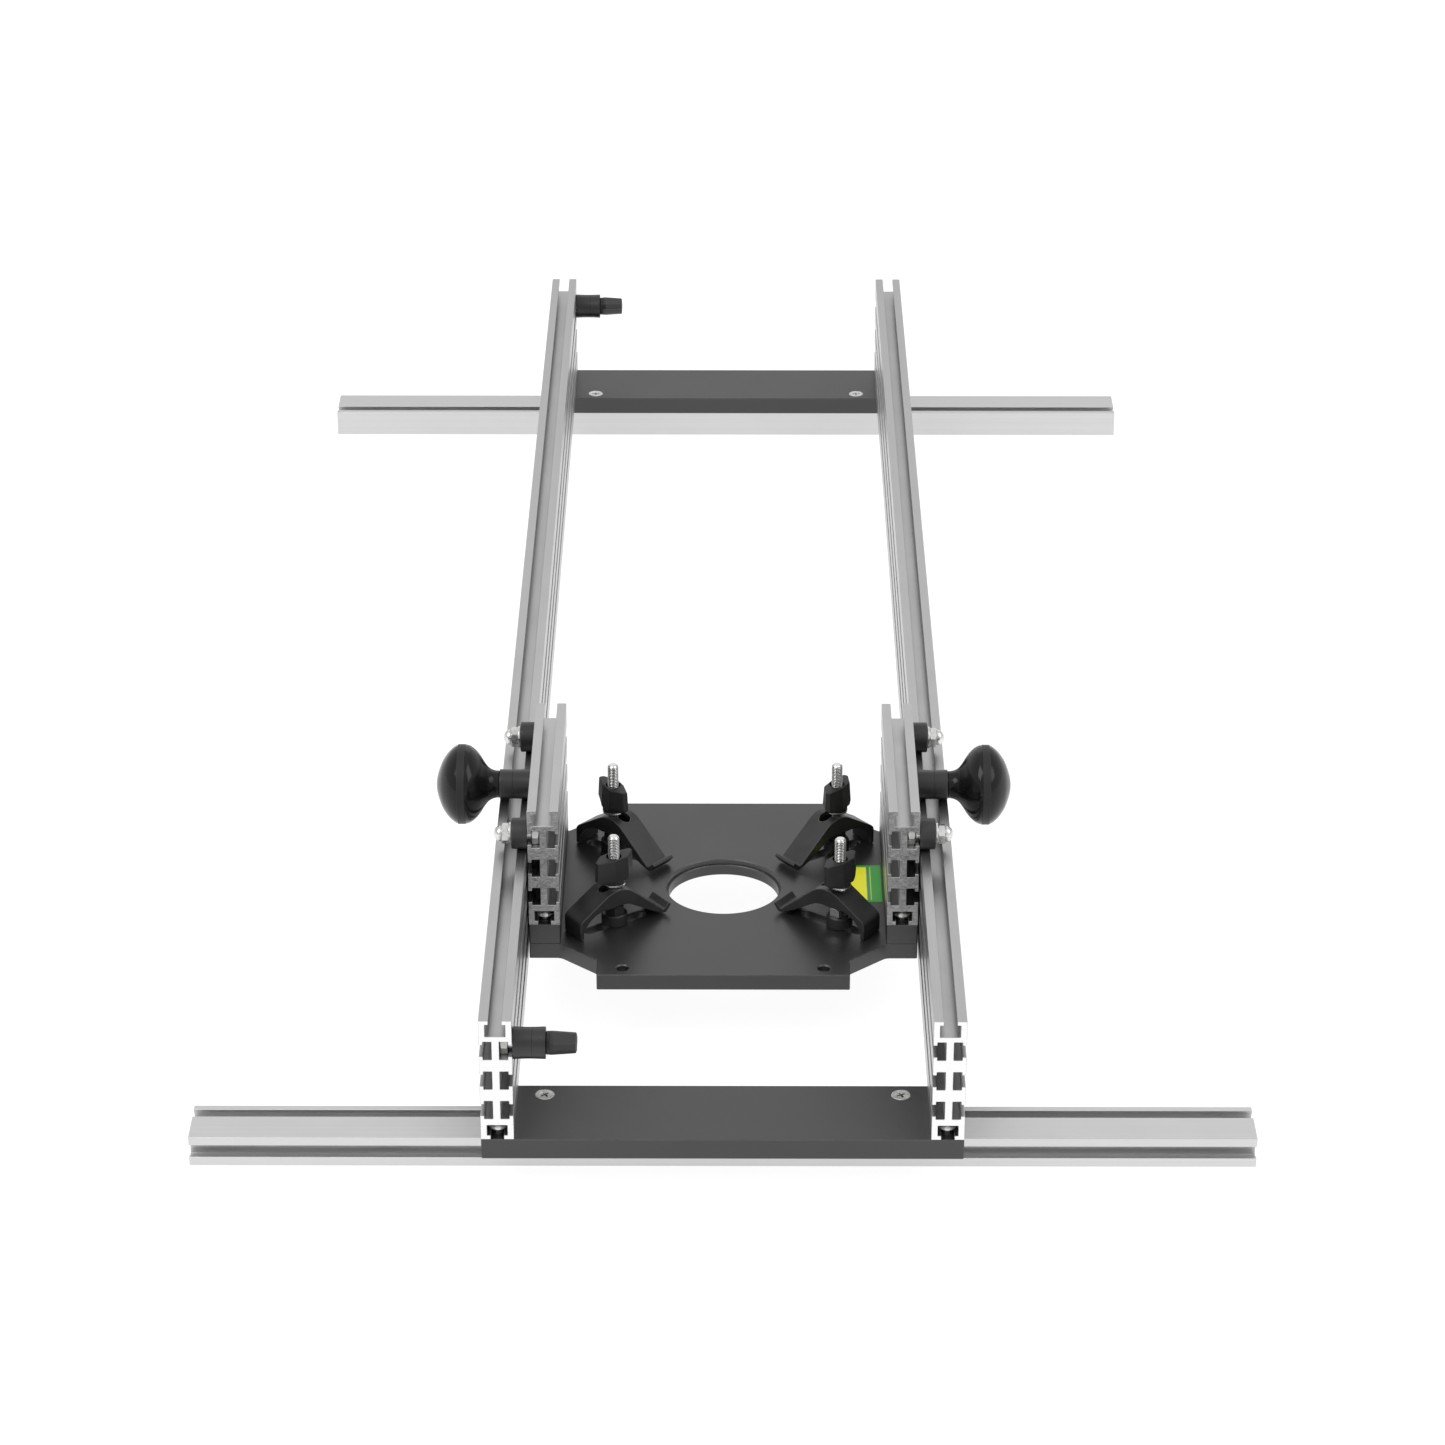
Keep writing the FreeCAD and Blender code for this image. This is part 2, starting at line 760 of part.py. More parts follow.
def mushroom_knob(name):
    """Flared neck, matte band round the rim and a domed end, with a blind thread."""
    rim_top = size.knob_rim_height + size.knob_band_height
    rise = (size.knob_dome_arc.value
            - math.sqrt(size.knob_dome_arc.value ** 2 - size.knob_rim_radius.value ** 2))
    crown = rim_top + Size(rise, f"({size.knob_dome_arc.formula} - sqrt("
                                 f"{size.knob_dome_arc.formula}^2 - {size.knob_rim_radius.formula}^2))")
    return turned(name, [(0, size.knob_thread_depth), (size.thread_bore_radius, size.knob_thread_depth),
                         (size.thread_bore_radius, 0), (size.knob_neck_radius, 0),
                         (size.knob_neck_radius + 0.2, 3.5, -size.knob_flare_arc),
                         (size.knob_throat_radius, size.knob_throat_height, size.knob_back_arc),
                         (size.knob_rim_radius, size.knob_rim_height),
                         (size.knob_rim_radius, rim_top, size.knob_dome_arc),
                         (0, crown)])


def build_handles():
    bolts = []
    sleeves = []
    for side in (LEFT, RIGHT):
        turn = outward(side)
        seat_x = (short_face_x - size.side_lip.value) * side
        length = size.side_lip + size.sleeve_length + (size.knob_thread_depth - 2)
        bolts.append(hex_bolt("handle_bolt_" + SIDE_NAMES[side], length,
                              at(seat_x, carriage_y, axle_z, turn)))
        ring = sleeve("handle_sleeve_" + SIDE_NAMES[side], size.sleeve_length)
        ring.Placement = at(short_face_x * side, carriage_y, axle_z, turn)
        sleeves.append(ring)
        knob_x = (short_face_x + size.sleeve_length.value) * side
        name = "handle_knob_" + SIDE_NAMES[side]
        keep(mushroom_knob(name), name, at(knob_x, carriage_y, axle_z, turn))
    group("handle_bolts", bolts)
    group("handle_sleeves", sleeves)


# ---------------------------------------------------------------- rollers

def build_rollers():
    bolts = []
    bushes = []
    washers = []
    dome_nuts = []
    bush_length = size.roller_width + size.roller_end_gap * 2
    bolt_length = (size.side_lip + bush_length) + (size.washer_thickness + size.dome_nut_hex_height)
    for end in (FRONT, REAR):
        for side in (LEFT, RIGHT):
            tag = f"{END_NAMES[end]}_{SIDE_NAMES[side]}"
            turn = outward(side)
            y = carriage_y + size.roller_reach.value * end
            seat = at((short_face_x - size.side_lip.value) * side, y, axle_z, turn)
            bolts.append(hex_bolt("roller_bolt_" + tag, bolt_length, seat))
            bush = tube("roller_bush_" + tag, size.bush_radius, size.thread_bore_radius, bush_length)
            bush.Placement = at(short_face_x * side, y, axle_z, turn)
            bushes.append(bush)
            wheel = tube("roller_" + tag, size.roller_radius, size.roller_bore_radius,
                         size.roller_width, size.roller_chamfer)
            wheel_x = (short_face_x + size.roller_end_gap.value) * side
            keep(wheel, "roller_" + tag, at(wheel_x, y, axle_z, turn))
            washer_x = short_face_x + bush_length.value
            washer = tube("roller_washer_" + tag, size.washer_radius, size.thread_bore_radius,
                          size.washer_thickness)
            washer.Placement = at(washer_x * side, y, axle_z, turn)
            washers.append(washer)
            nut_x = washer_x + size.washer_thickness.value
            dome_nuts.append(dome_nut("roller_dome_nut_" + tag, at(nut_x * side, y, axle_z, turn)))
    group("roller_bolts", bolts)
    group("roller_bushes", bushes)
    group("roller_washers", washers)
    group("roller_dome_nuts", dome_nuts)


# ---------------------------------------------------------------- clamps and end stops

# Length and width of the wing nut's section at three heights, as shares of its full size
WING_ROOT_SHARES = (0.78, 1.02)
WING_SHOULDER_SHARES = (1.0, 0.98)
WING_TOP_SHARES = (0.97, 0.84)
WING_FLANK_SHARE = 0.93
WING_CORNER_SHARE = 0.1


def wing_section(body, height, length_share, width_share):
    """Two-lobed section: a lozenge whose flanks bulge on opposite sides."""
    reach = size.wing_half_length * length_share
    half_end = size.wing_end_width / 2 * width_share
    waist = size.wing_half_waist * width_share
    offset = size.wing_waist_offset
    half = [(-reach, -half_end), (-offset, -waist), (offset * 2, -waist * WING_FLANK_SHARE),
            (reach, half_end * WING_CORNER_SHARE)]
    sketch = new_sketch(body, "XY_Plane", height)
    outline(sketch, half + [(-x, -y) for x, y in half])
    return sketch


def wing_nut(name, placement):
    """Tapered plastic wing nut on a round neck, its thread through along local Z."""
    body = new_body(name + "_body")
    neck = new_sketch(body, "XY_Plane")
    neck.addGeometry(Part.Circle(Vector(0, 0, 0), Z_AXIS, size.wing_neck_radius.value))
    neck.addConstraint(Sketcher.Constraint("Coincident", 0, 3, -1, 1))
    rule = Sketcher.Constraint("Radius", 0, size.wing_neck_radius.value)
    neck.setExpression(f"Constraints[{neck.addConstraint(rule)}]", size.wing_neck_radius.formula)
    pad(body, neck, size.wing_neck_height)
    loft = body.newObject("PartDesign::AdditiveLoft", name + "_lobes")
    loft.Profile = wing_section(body, size.wing_neck_height, *WING_ROOT_SHARES)
    loft.Sections = [wing_section(body, size.wing_shoulder_height, *WING_SHOULDER_SHARES),
                     wing_section(body, size.wing_height, *WING_TOP_SHARES)]
    loft.Ruled = True
    mouth_z = size.wing_height.value - size.wing_bore_mouth_depth.value
    tools = [cylinder(name + "_thread", size.thread_bore_radius, size.wing_height),
             cylinder(name + "_mouth", size.wing_bore_mouth_radius, size.wing_bore_mouth_depth,
                      at(z=mouth_z))]
    return keep(cut(name, body, tools), name, placement)


def clamp_arm(name, placement):
    """Pressed channel arm along local X: a foot at -X, a crown over the stud, a lipped tip at +X."""
    lift = size.arm_lift
    foot = -size.arm_foot_reach
    wall = foot + size.arm_foot_wall
    crown = size.arm_crown_height
    tip = size.arm_tip_reach
    arc = size.arm_crown_arc
    roof = crown - size.arm_roof_thickness
    body = new_body(name)
    side_view = new_sketch(body, "XZ_Plane")
    outline(side_view, [
        (foot, lift), (wall, lift), (wall, lift + 5, -20), (-9, crown - 13.5), (5, crown - 13),
        (tip - 15, lift + 4.5), (tip - 6.5, lift + 1.2), (tip - 4.2, lift + 1.4),
        (tip, lift + 6.2), (tip - 1.9, lift + 8), (tip - 5.6, lift + 4.2), (tip - 8, lift + 4.4),
        (10, crown - 4.6, arc * 1.1), (3, crown), (-5, crown, arc), (-11.5, crown - 3.1),
        (foot, size.arm_foot_height)])
    pad(body, side_view, size.arm_width, symmetric=True)
    channel = new_sketch(body, "XZ_Plane")
    outline(channel, [
        (wall, -1), (tip - 11.5, -1), (tip - 11.5, lift + 4), (8.8, crown - 7.3), (2.6, roof),
        (-4.6, roof), (-10.6, crown - 5.8), (wall, size.arm_foot_height - 1.2)])
    pocket(body, channel, size.arm_width - size.arm_flange * 2)
    stud_slot = new_sketch(body, "XY_Plane")
    half = size.slot_mouth / 2
    reach = size.arm_slot_length / 2 - half
    inner = reach - size.arm_slot_offset
    outer = -reach - size.arm_slot_offset
    round_end = half * 1.0001
    outline(stud_slot, [(outer, -half), (inner, -half, round_end), (inner, half),
                        (outer, half, round_end)])
    pocket(body, stud_slot)
    return keep(body, name, placement)


def build_clamp(side, end):
    """Clamp in its diagonal slot. Local X points inward along the slot."""
    prefix = f"clamp_{END_NAMES[end]}_{SIDE_NAMES[side]}_"
    slot = at(size.clamp_x.value * side, carriage_y + size.clamp_y.value * end, 0,
              Rotation(Z_AXIS, inward_angle(side, end)))
    post = slot.multiply(at(-STUD_SHIFT[end, side]))

    def on_post(z):
        return post.multiply(at(z=z))

    gap = size.moving_gap.value
    stud_length = size.plate_thickness + size.stud_height
    stud = hex_bolt(prefix + "stud", stud_length, on_post(router_plate_z - gap))
    keep(stud, prefix + "stud")
    collar = tube(prefix + "collar", size.collar_radius, size.bolt_hole_radius, size.collar_height,
                  size.collar_chamfer)
    keep(collar, prefix + "collar", on_post(clamp_z + gap))
    base_nut_z = clamp_z + gap + size.collar_height.value
    keep(hex_nut(prefix + "base_nut", size.nut_height, on_post(base_nut_z)), prefix + "base_nut")
    arm_turn = at(rotation=Rotation(Z_AXIS, ARM_TURN[end, side]))
    arm_place = on_post(clamp_z).multiply(arm_turn).multiply(at(ARM_SHIFT[end, side]))
    clamp_arm(prefix + "arm", arm_place)
    washer_z = clamp_z + size.arm_crown_height.value + gap
    washer = tube(prefix + "washer", size.washer_radius, size.bolt_hole_radius, size.washer_thickness)
    keep(washer, prefix + "washer", on_post(washer_z))
    wing_z = washer_z + size.washer_thickness.value + gap / 2
    turn = Rotation(Z_AXIS, WING_NUT_TURN[end, side])
    wing_nut(prefix + "wing_nut", at(post.Base.x, post.Base.y, wing_z, turn))


def build_stop(end):
    """Stop that slides in the upper inner slot of the left rail: bolt, sleeve, wing nut."""
    prefix = f"stop_{END_NAMES[end]}_"
    y = (rail_end_y - size.stop_inset.value) * end
    z = long_rail_z + 3 * size.side_slot_pitch.value
    face_x = -inner_face_x + size.moving_gap.value
    towards_middle = outward(RIGHT)
    seat_x = face_x - size.side_lip.value - 2 * size.moving_gap.value
    bolt = hex_bolt(prefix + "bolt", size.stop_bolt_length, at(seat_x, y, z, towards_middle))
    keep(bolt, prefix + "bolt")
    ring = sleeve(prefix + "sleeve", size.stop_sleeve_length)
    keep(ring, prefix + "sleeve", at(face_x, y, z, towards_middle))
    knob_x = face_x + size.stop_sleeve_length.value + size.moving_gap.value
    turn = Rotation(X_AXIS, STOP_KNOB_TURN).multiply(towards_middle)
    wing_nut(prefix + "knob", at(knob_x, y, z, turn))


# ---------------------------------------------------------------- build, check and export

def check_document():
    doc.recompute()
    for item in doc.Objects:
        if "Invalid" in item.State or "Error" in item.State:
            raise RuntimeError(f"{item.Label} did not build: {item.State}")
    for item in sub_parts:
        if item.Shape.isNull() or not item.Shape.isValid():
            raise RuntimeError(f"{item.Label} has no valid shape")
        if not item.Shape.Solids:
            raise RuntimeError(f"{item.Label} has no solid")


def export_parts():
    os.makedirs("parts", exist_ok=True)
    for item in sub_parts:
        item.Shape.exportStep(f"parts/{item.Label}.step")
    print(f"{len(sub_parts)} sub-parts written")


build_base()
build_carriage()
for clamp_end in (FRONT, REAR):
    for clamp_side in (LEFT, RIGHT):
        build_clamp(clamp_side, clamp_end)
    build_stop(clamp_end)
check_document()
export_parts()
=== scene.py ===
import math

import bmesh
import bpy
from mathutils import Matrix, Vector


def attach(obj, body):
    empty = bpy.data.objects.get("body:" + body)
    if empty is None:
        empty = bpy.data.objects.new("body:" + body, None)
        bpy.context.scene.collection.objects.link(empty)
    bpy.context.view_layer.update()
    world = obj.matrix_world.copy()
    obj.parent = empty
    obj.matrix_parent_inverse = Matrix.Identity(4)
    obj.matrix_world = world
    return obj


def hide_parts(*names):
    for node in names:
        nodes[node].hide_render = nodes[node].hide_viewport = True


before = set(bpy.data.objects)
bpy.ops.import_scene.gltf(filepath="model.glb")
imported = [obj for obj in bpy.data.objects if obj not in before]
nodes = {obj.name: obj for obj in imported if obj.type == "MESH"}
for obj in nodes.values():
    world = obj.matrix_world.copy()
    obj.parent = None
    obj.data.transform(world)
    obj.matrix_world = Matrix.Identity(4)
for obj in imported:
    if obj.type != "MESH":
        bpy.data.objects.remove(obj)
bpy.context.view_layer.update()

# Router sled. Lengths are millimetres until a piece is written out in metres. Materials, lights,
# floor and camera are in metres.

MM = 0.001
LEFT, RIGHT = -1, 1
FRONT, REAR = -1, 1
SIDE_NAMES = {LEFT: "left", RIGHT: "right"}
END_NAMES = {FRONT: "front", REAR: "rear"}
CORNERS = [(end, side) for end in (FRONT, REAR) for side in (LEFT, RIGHT)]

RAIL_WIDTH = 22.0
RAIL_HEIGHT = 90.0
RAIL_LENGTH = 1370.0
SHORT_LENGTH = 172.0
RAIL_X = 149.0
RAIL_Z = 37.0
SLOT_PITCH = 22.5
SLOT_MOUTH = 4.4
SLOT_UNDERCUT = 6.8
SLOT_LIP = 3.0
PLATE_Z = 22.0
CROSS_RAIL_Y = 658.5
CROSS_RAIL_HALF_LENGTH = 357.5
CROSS_PLATE_Y = 650.0
CROSS_PLATE_HALF_LENGTH = 160.0
CROSS_PLATE_HALF_WIDTH = 35.0
PLATE_SCREW_X = 119.8
PLATE_SCREW_INSET = 23.2
RAIL_BOLT_REACH = 22.0
CARRIAGE_Y = -365.0
ROUTER_PLATE_Z = 43.5
DECK_Z = 55.5
ARM_CROWN = 31.5
SHORT_RAIL_Z = 70.5
SHORT_RAIL_X = 126.0
SHORT_FACE_X = 137.0
CARRIAGE_BOLT_REACH = 74.0
AXLE_Z = 138.0
CLAMP_X = 78.0
CLAMP_Y = 55.0
ROLLER_REACH = 76.0
STOP_FACE_X = -137.9
STOP_Y = 674.0
STOP_Z = 104.5
THREAD_BORE_RADIUS = 4.06
BOLT_HOLE_RADIUS = 4.25
SIDE_LIP = 2.7
HEX_FLAT = 6.5
HEX_HEAD_HEIGHT = 5.2
NUT_HEIGHT = 6.5
WASHER_RADIUS = 8.0
WASHER_THICKNESS = 1.6
COLLAR_HEIGHT = 8.8
STOP_SLEEVE_LENGTH = 21.8
HANDLE_SLEEVE_LENGTH = 23.0
MOVING_GAP = 0.1

# Where each clamp came to rest: stud outward along its slot, arm inward on its stud, arm and nut turns
STUD_SHIFT = {(FRONT, LEFT): -0.5, (FRONT, RIGHT): 5.5, (REAR, LEFT): 3.3, (REAR, RIGHT): 5.5}
ARM_SHIFT = {(FRONT, LEFT): -1.0, (FRONT, RIGHT): 7.0, (REAR, LEFT): 6.5, (REAR, RIGHT): 7.0}
ARM_TURN = {(FRONT, LEFT): 0, (FRONT, RIGHT): 0, (REAR, LEFT): -6, (REAR, RIGHT): 4}
WING_NUT_TURN = {(FRONT, LEFT): 38, (FRONT, RIGHT): 45, (REAR, LEFT): -64, (REAR, RIGHT): 58}
STOP_KNOB_TURN = 62


# ---------------------------------------------------------------- outlines

def rounded(points, radius, steps=3, straight=math.pi):
    """Outline whose corners are replaced by small curves, unless they open wider than straight."""
    radii = radius if isinstance(radius, list) else [radius] * len(points)
    result = []
    for index, corner in enumerate(points):
        corner = Vector(corner)
        back = Vector(points[index - 1]) - corner
        ahead = Vector(points[(index + 1) % len(points)]) - corner
        opening = back.angle(ahead)
        if opening > straight:
            result.append(corner)
            continue
        reach = min(radii[index] / math.tan(opening / 2), back.length * 0.45, ahead.length * 0.45)
        start = corner + back.normalized() * reach
        finish = corner + ahead.normalized() * reach
        for step in range(steps + 1):
            t = step / steps
            result.append(start * (1 - t) ** 2 + corner * (2 * t * (1 - t)) + finish * t ** 2)
    return result


def circle(radius, centre=(0.0, 0.0), steps=96):
    x, y = centre
    turns = [math.tau * step / steps for step in range(steps)]
    return [Vector((x + radius * math.cos(turn), y + radius * math.sin(turn))) for turn in turns]


def rectangle(x0, y0, x1, y1):
    return [Vector(p) for p in ((x0, y0), (x1, y0), (x1, y1), (x0, y1))]


def stadium(half_length, radius, centre, angle, steps=20):
    """Round-ended slot, turned by the angle."""
    points = []
    for way in (1, -1):
        for step in range(steps + 1):
            turn = math.pi * (step / steps - 0.5)
            x = way * (half_length - radius + radius * math.cos(turn))
            y = way * radius * math.sin(turn)
            points.append(Vector((x, y)))
    spin = Matrix.Rotation(angle, 2)
    return [spin @ point + Vector(centre) for point in points]


def grown(points, amount):
    """Outline moved outward by the amount, sharing each corner between its two edges."""
    if not amount:
        return points
    result = []
    for index, point in enumerate(points):
        back = (point - points[index - 1]).normalized()
        ahead = (points[(index + 1) % len(points)] - point).normalized()
        normals = [Vector((edge.y, -edge.x)) for edge in (back, ahead)]
        middle = (normals[0] + normals[1]).normalized()
        result.append(point + middle * (amount / max(middle.dot(normals[0]), 0.3)))
    return result


def slotted_edge(start, finish, slots=()):
    """One straight side of a section, with a T-slot at each (place, lip, undercut depth)."""
    along = (finish - start).normalized()
    inward = Vector((-along.y, along.x))
    points = [start]
    for place, lip, depth in slots:
        centre = start + along * place
        steps = ((SLOT_MOUTH, 0), (SLOT_MOUTH, lip), (SLOT_UNDERCUT, lip), (SLOT_UNDERCUT, lip + depth))
        for across, inset in steps:
            points.append(centre - along * across + inward * inset)
        for across, inset in reversed(steps):
            points.append(centre + along * across + inward * inset)
    return points


def section(width, height, bottom=(), right=(), top=(), left=()):
    corners = rectangle(0, 0, width, height)
    points = []
    for index, slots in enumerate((bottom, right, top, left)):
        points += slotted_edge(corners[index], corners[(index + 1) % 4], slots)
    return points


# ---------------------------------------------------------------- mesh building

def placed(x=0.0, y=0.0, z=0.0, turn=None):
    """Row-frame placement of geometry drawn in millimetres."""
    place = Matrix.Translation(Vector((x, y, z)) * MM)
    return place @ (turn or Matrix.Identity(4)) @ Matrix.Scale(MM, 4)


def turn_about(axis, degrees):
    return Matrix.Rotation(math.radians(degrees), 4, axis)


def outward(side):
    """Takes local Z to the left or the right."""
    return turn_about("Y", 90 * side)


TO_FRONT = turn_about("X", 90)


class Shape:
    """Geometry collected in one mesh, placed as it is drawn."""

    def __init__(self, mesh=None):
        self.mesh = mesh or bmesh.new()
        self.place = placed()

    def at(self, *args, **kwargs):
        self.place = placed(*args, **kwargs)
        return self

    def vertex(self, x, y, z):
        return self.mesh.verts.new(self.place @ Vector((x, y, z)))

    def ring(self, points, z):
        return [self.vertex(point[0], point[1], z) for point in points]

    def face(self, corners):
        self.mesh.faces.new(corners)

    def bridge(self, lower, upper):
        for index in range(len(lower)):
            following = (index + 1) % len(lower)
            self.face((lower[index], lower[following], upper[following], upper[index]))

    def fill(self, rings):
        """Flat face between an outer ring and the rings of its holes."""
        edges = []
        for ring in rings:
            for index, vertex in enumerate(ring):
                edge = self.mesh.edges.get((ring[index - 1], vertex))
                edges.append(edge or self.mesh.edges.new((ring[index - 1], vertex)))
        bmesh.ops.triangle_fill(self.mesh, edges=edges, use_beauty=True)

    def slab(self, loops):
        """Prism along local Z. Each loop has an outline and a wall of (outward shift, z) rows."""
        tops, bottoms = [], []
        for outline, wall in loops:
            rows = [self.ring(grown(outline, shift), z) for shift, z in wall]
            for upper, lower in zip(rows, rows[1:]):
                self.bridge(lower, upper)
            tops.append(rows[0])
            bottoms.append(rows[-1])
        self.fill(tops)
        self.fill(bottoms)
        return self

    def turned(self, rows, steps=64):
        """Surface about local Z. A row is (radius, z), or a function of the angle that gives both."""
        rings = []
        for row in rows:
            ring = []
            for step in range(steps):
                angle = math.tau * step / steps
                radius, z = row(angle) if callable(row) else row
                ring.append(self.vertex(radius * math.cos(angle), radius * math.sin(angle), z))
            rings.append(ring)
        for lower, upper in zip(rings, rings[1:]):
            self.bridge(lower, upper)
        return self

    def write(self, name, material, body, replaced, slot, sharp=32.0):
        """Make the object, ride it on its body and let it stand for its CAD nodes."""
        bmesh.ops.remove_doubles(self.mesh, verts=self.mesh.verts, dist=1e-7)
        bmesh.ops.recalc_face_normals(self.mesh, faces=self.mesh.faces)
        data = bpy.data.meshes.new(name)
        self.mesh.to_mesh(data)
        self.mesh.free()
        data.shade_smooth()
        data.set_sharp_from_angle(angle=math.radians(sharp))
        piece = bpy.data.objects.new(name, data)
        bpy.context.scene.collection.objects.link(piece)
        data.materials.append(material)
        flat = piece.modifiers.new("flat faces", "WEIGHTED_NORMAL")
        flat.keep_sharp = True
        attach(piece, body)
        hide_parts(*replaced)
        return piece


def carved(blank, cutters):
    """Mesh of a shape with the cutters taken out of it."""
    pieces = []
    for shape in (blank, *cutters):
        bmesh.ops.remove_doubles(shape.mesh, verts=shape.mesh.verts, dist=1e-7)
        bmesh.ops.recalc_face_normals(shape.mesh, faces=shape.mesh.faces)
        data = bpy.data.meshes.new("carving")
        shape.mesh.to_mesh(data)
        shape.mesh.free()
        pieces.append(bpy.data.objects.new("carving", data))
        bpy.context.scene.collection.objects.link(pieces[-1])
    for cutter in pieces[1:]:
        boolean = pieces[0].modifiers.new("cut", "BOOLEAN")
        boolean.object = cutter
        boolean.solver = "EXACT"
    evaluated = pieces[0].evaluated_get(bpy.context.evaluated_depsgraph_get())
    result = bmesh.new()
    result.from_mesh(evaluated.to_mesh())
    for piece in pieces:
        bpy.data.objects.remove(piece)
    return result


def curve(start, control, finish, steps=10):
    """Points of a curve that leaves and arrives along the lines to its control point."""
    start, control, finish = Vector(start), Vector(control), Vector(finish)
    shares = [step / steps for step in range(steps + 1)]
    return [start * (1 - t) ** 2 + control * (2 * t * (1 - t)) + finish * t ** 2 for t in shares]


def chamfered(top, bottom, size):
    """Wall of an outer edge: chamfer, straight side, chamfer."""
    return [(-size, top), (0, top - size), (0, bottom + size), (-size, bottom)]


def hole_wall(top, bottom, size):
    return [(size, top), (0, top - size), (0, bottom + size), (size, bottom)]


def ring_rows(inner, outer, bottom, top, edge=0.3):
    """Closed section of a plain ring with softened edges."""
    return [(inner, bottom + edge), (inner + edge, bottom), (outer - edge, bottom),
            (outer - edge * 0.3, bottom + edge * 0.3), (outer, bottom + edge), (outer, top - edge),
            (outer - edge * 0.3, top - edge * 0.3), (outer - edge, top), (inner + edge, top),
            (inner, top - edge), (inner, bottom + edge)]


def hexagon_radius(angle, flat, phase=0.0):
    third = math.radians(60)
    return flat / math.cos((angle - phase) % third - third / 2)


def hex_rows(flat, bottom, top, inner, phase=0.0):
    """Hexagon with turned chamfers and a round hole."""
    chamfer_radius = flat * 0.97

    def edge(z, way):
        def row(angle):
            radius = hexagon_radius(angle, flat, phase)
            return radius, z + way * (radius - chamfer_radius) * 0.5
        return row

    shoulder = chamfer_radius * 0.99
    softening = 0.4
    return [(inner, bottom + softening), (inner + softening, bottom), (shoulder, bottom),
            edge(bottom, 1), edge(top, -1), (shoulder, top), (inner + softening, top),
            (inner, top - softening)]


def threaded_rows(bottom, top, radius, pitch=1.25, depth=0.7, per_pitch=8):
    """Screw thread that fades out at its end chamfer."""
    count = int((top - bottom) / pitch * per_pitch)
    rows = []
    for index in range(count + 1):
        z = bottom + (top - bottom) * index / count

        def row(angle, z=z):
            phase = (z / pitch - angle / math.tau) % 1.0
            ridge = 1 - abs(phase * 2 - 1)
            groove = depth * (1 - min(1.0, max(0.0, ridge * 1.5 - 0.25)))
            limit = radius - max(0.0, z - (top - 1.2))
            return min(radius - groove, limit), z
        rows.append(row)
    return rows


# ---------------------------------------------------------------- materials

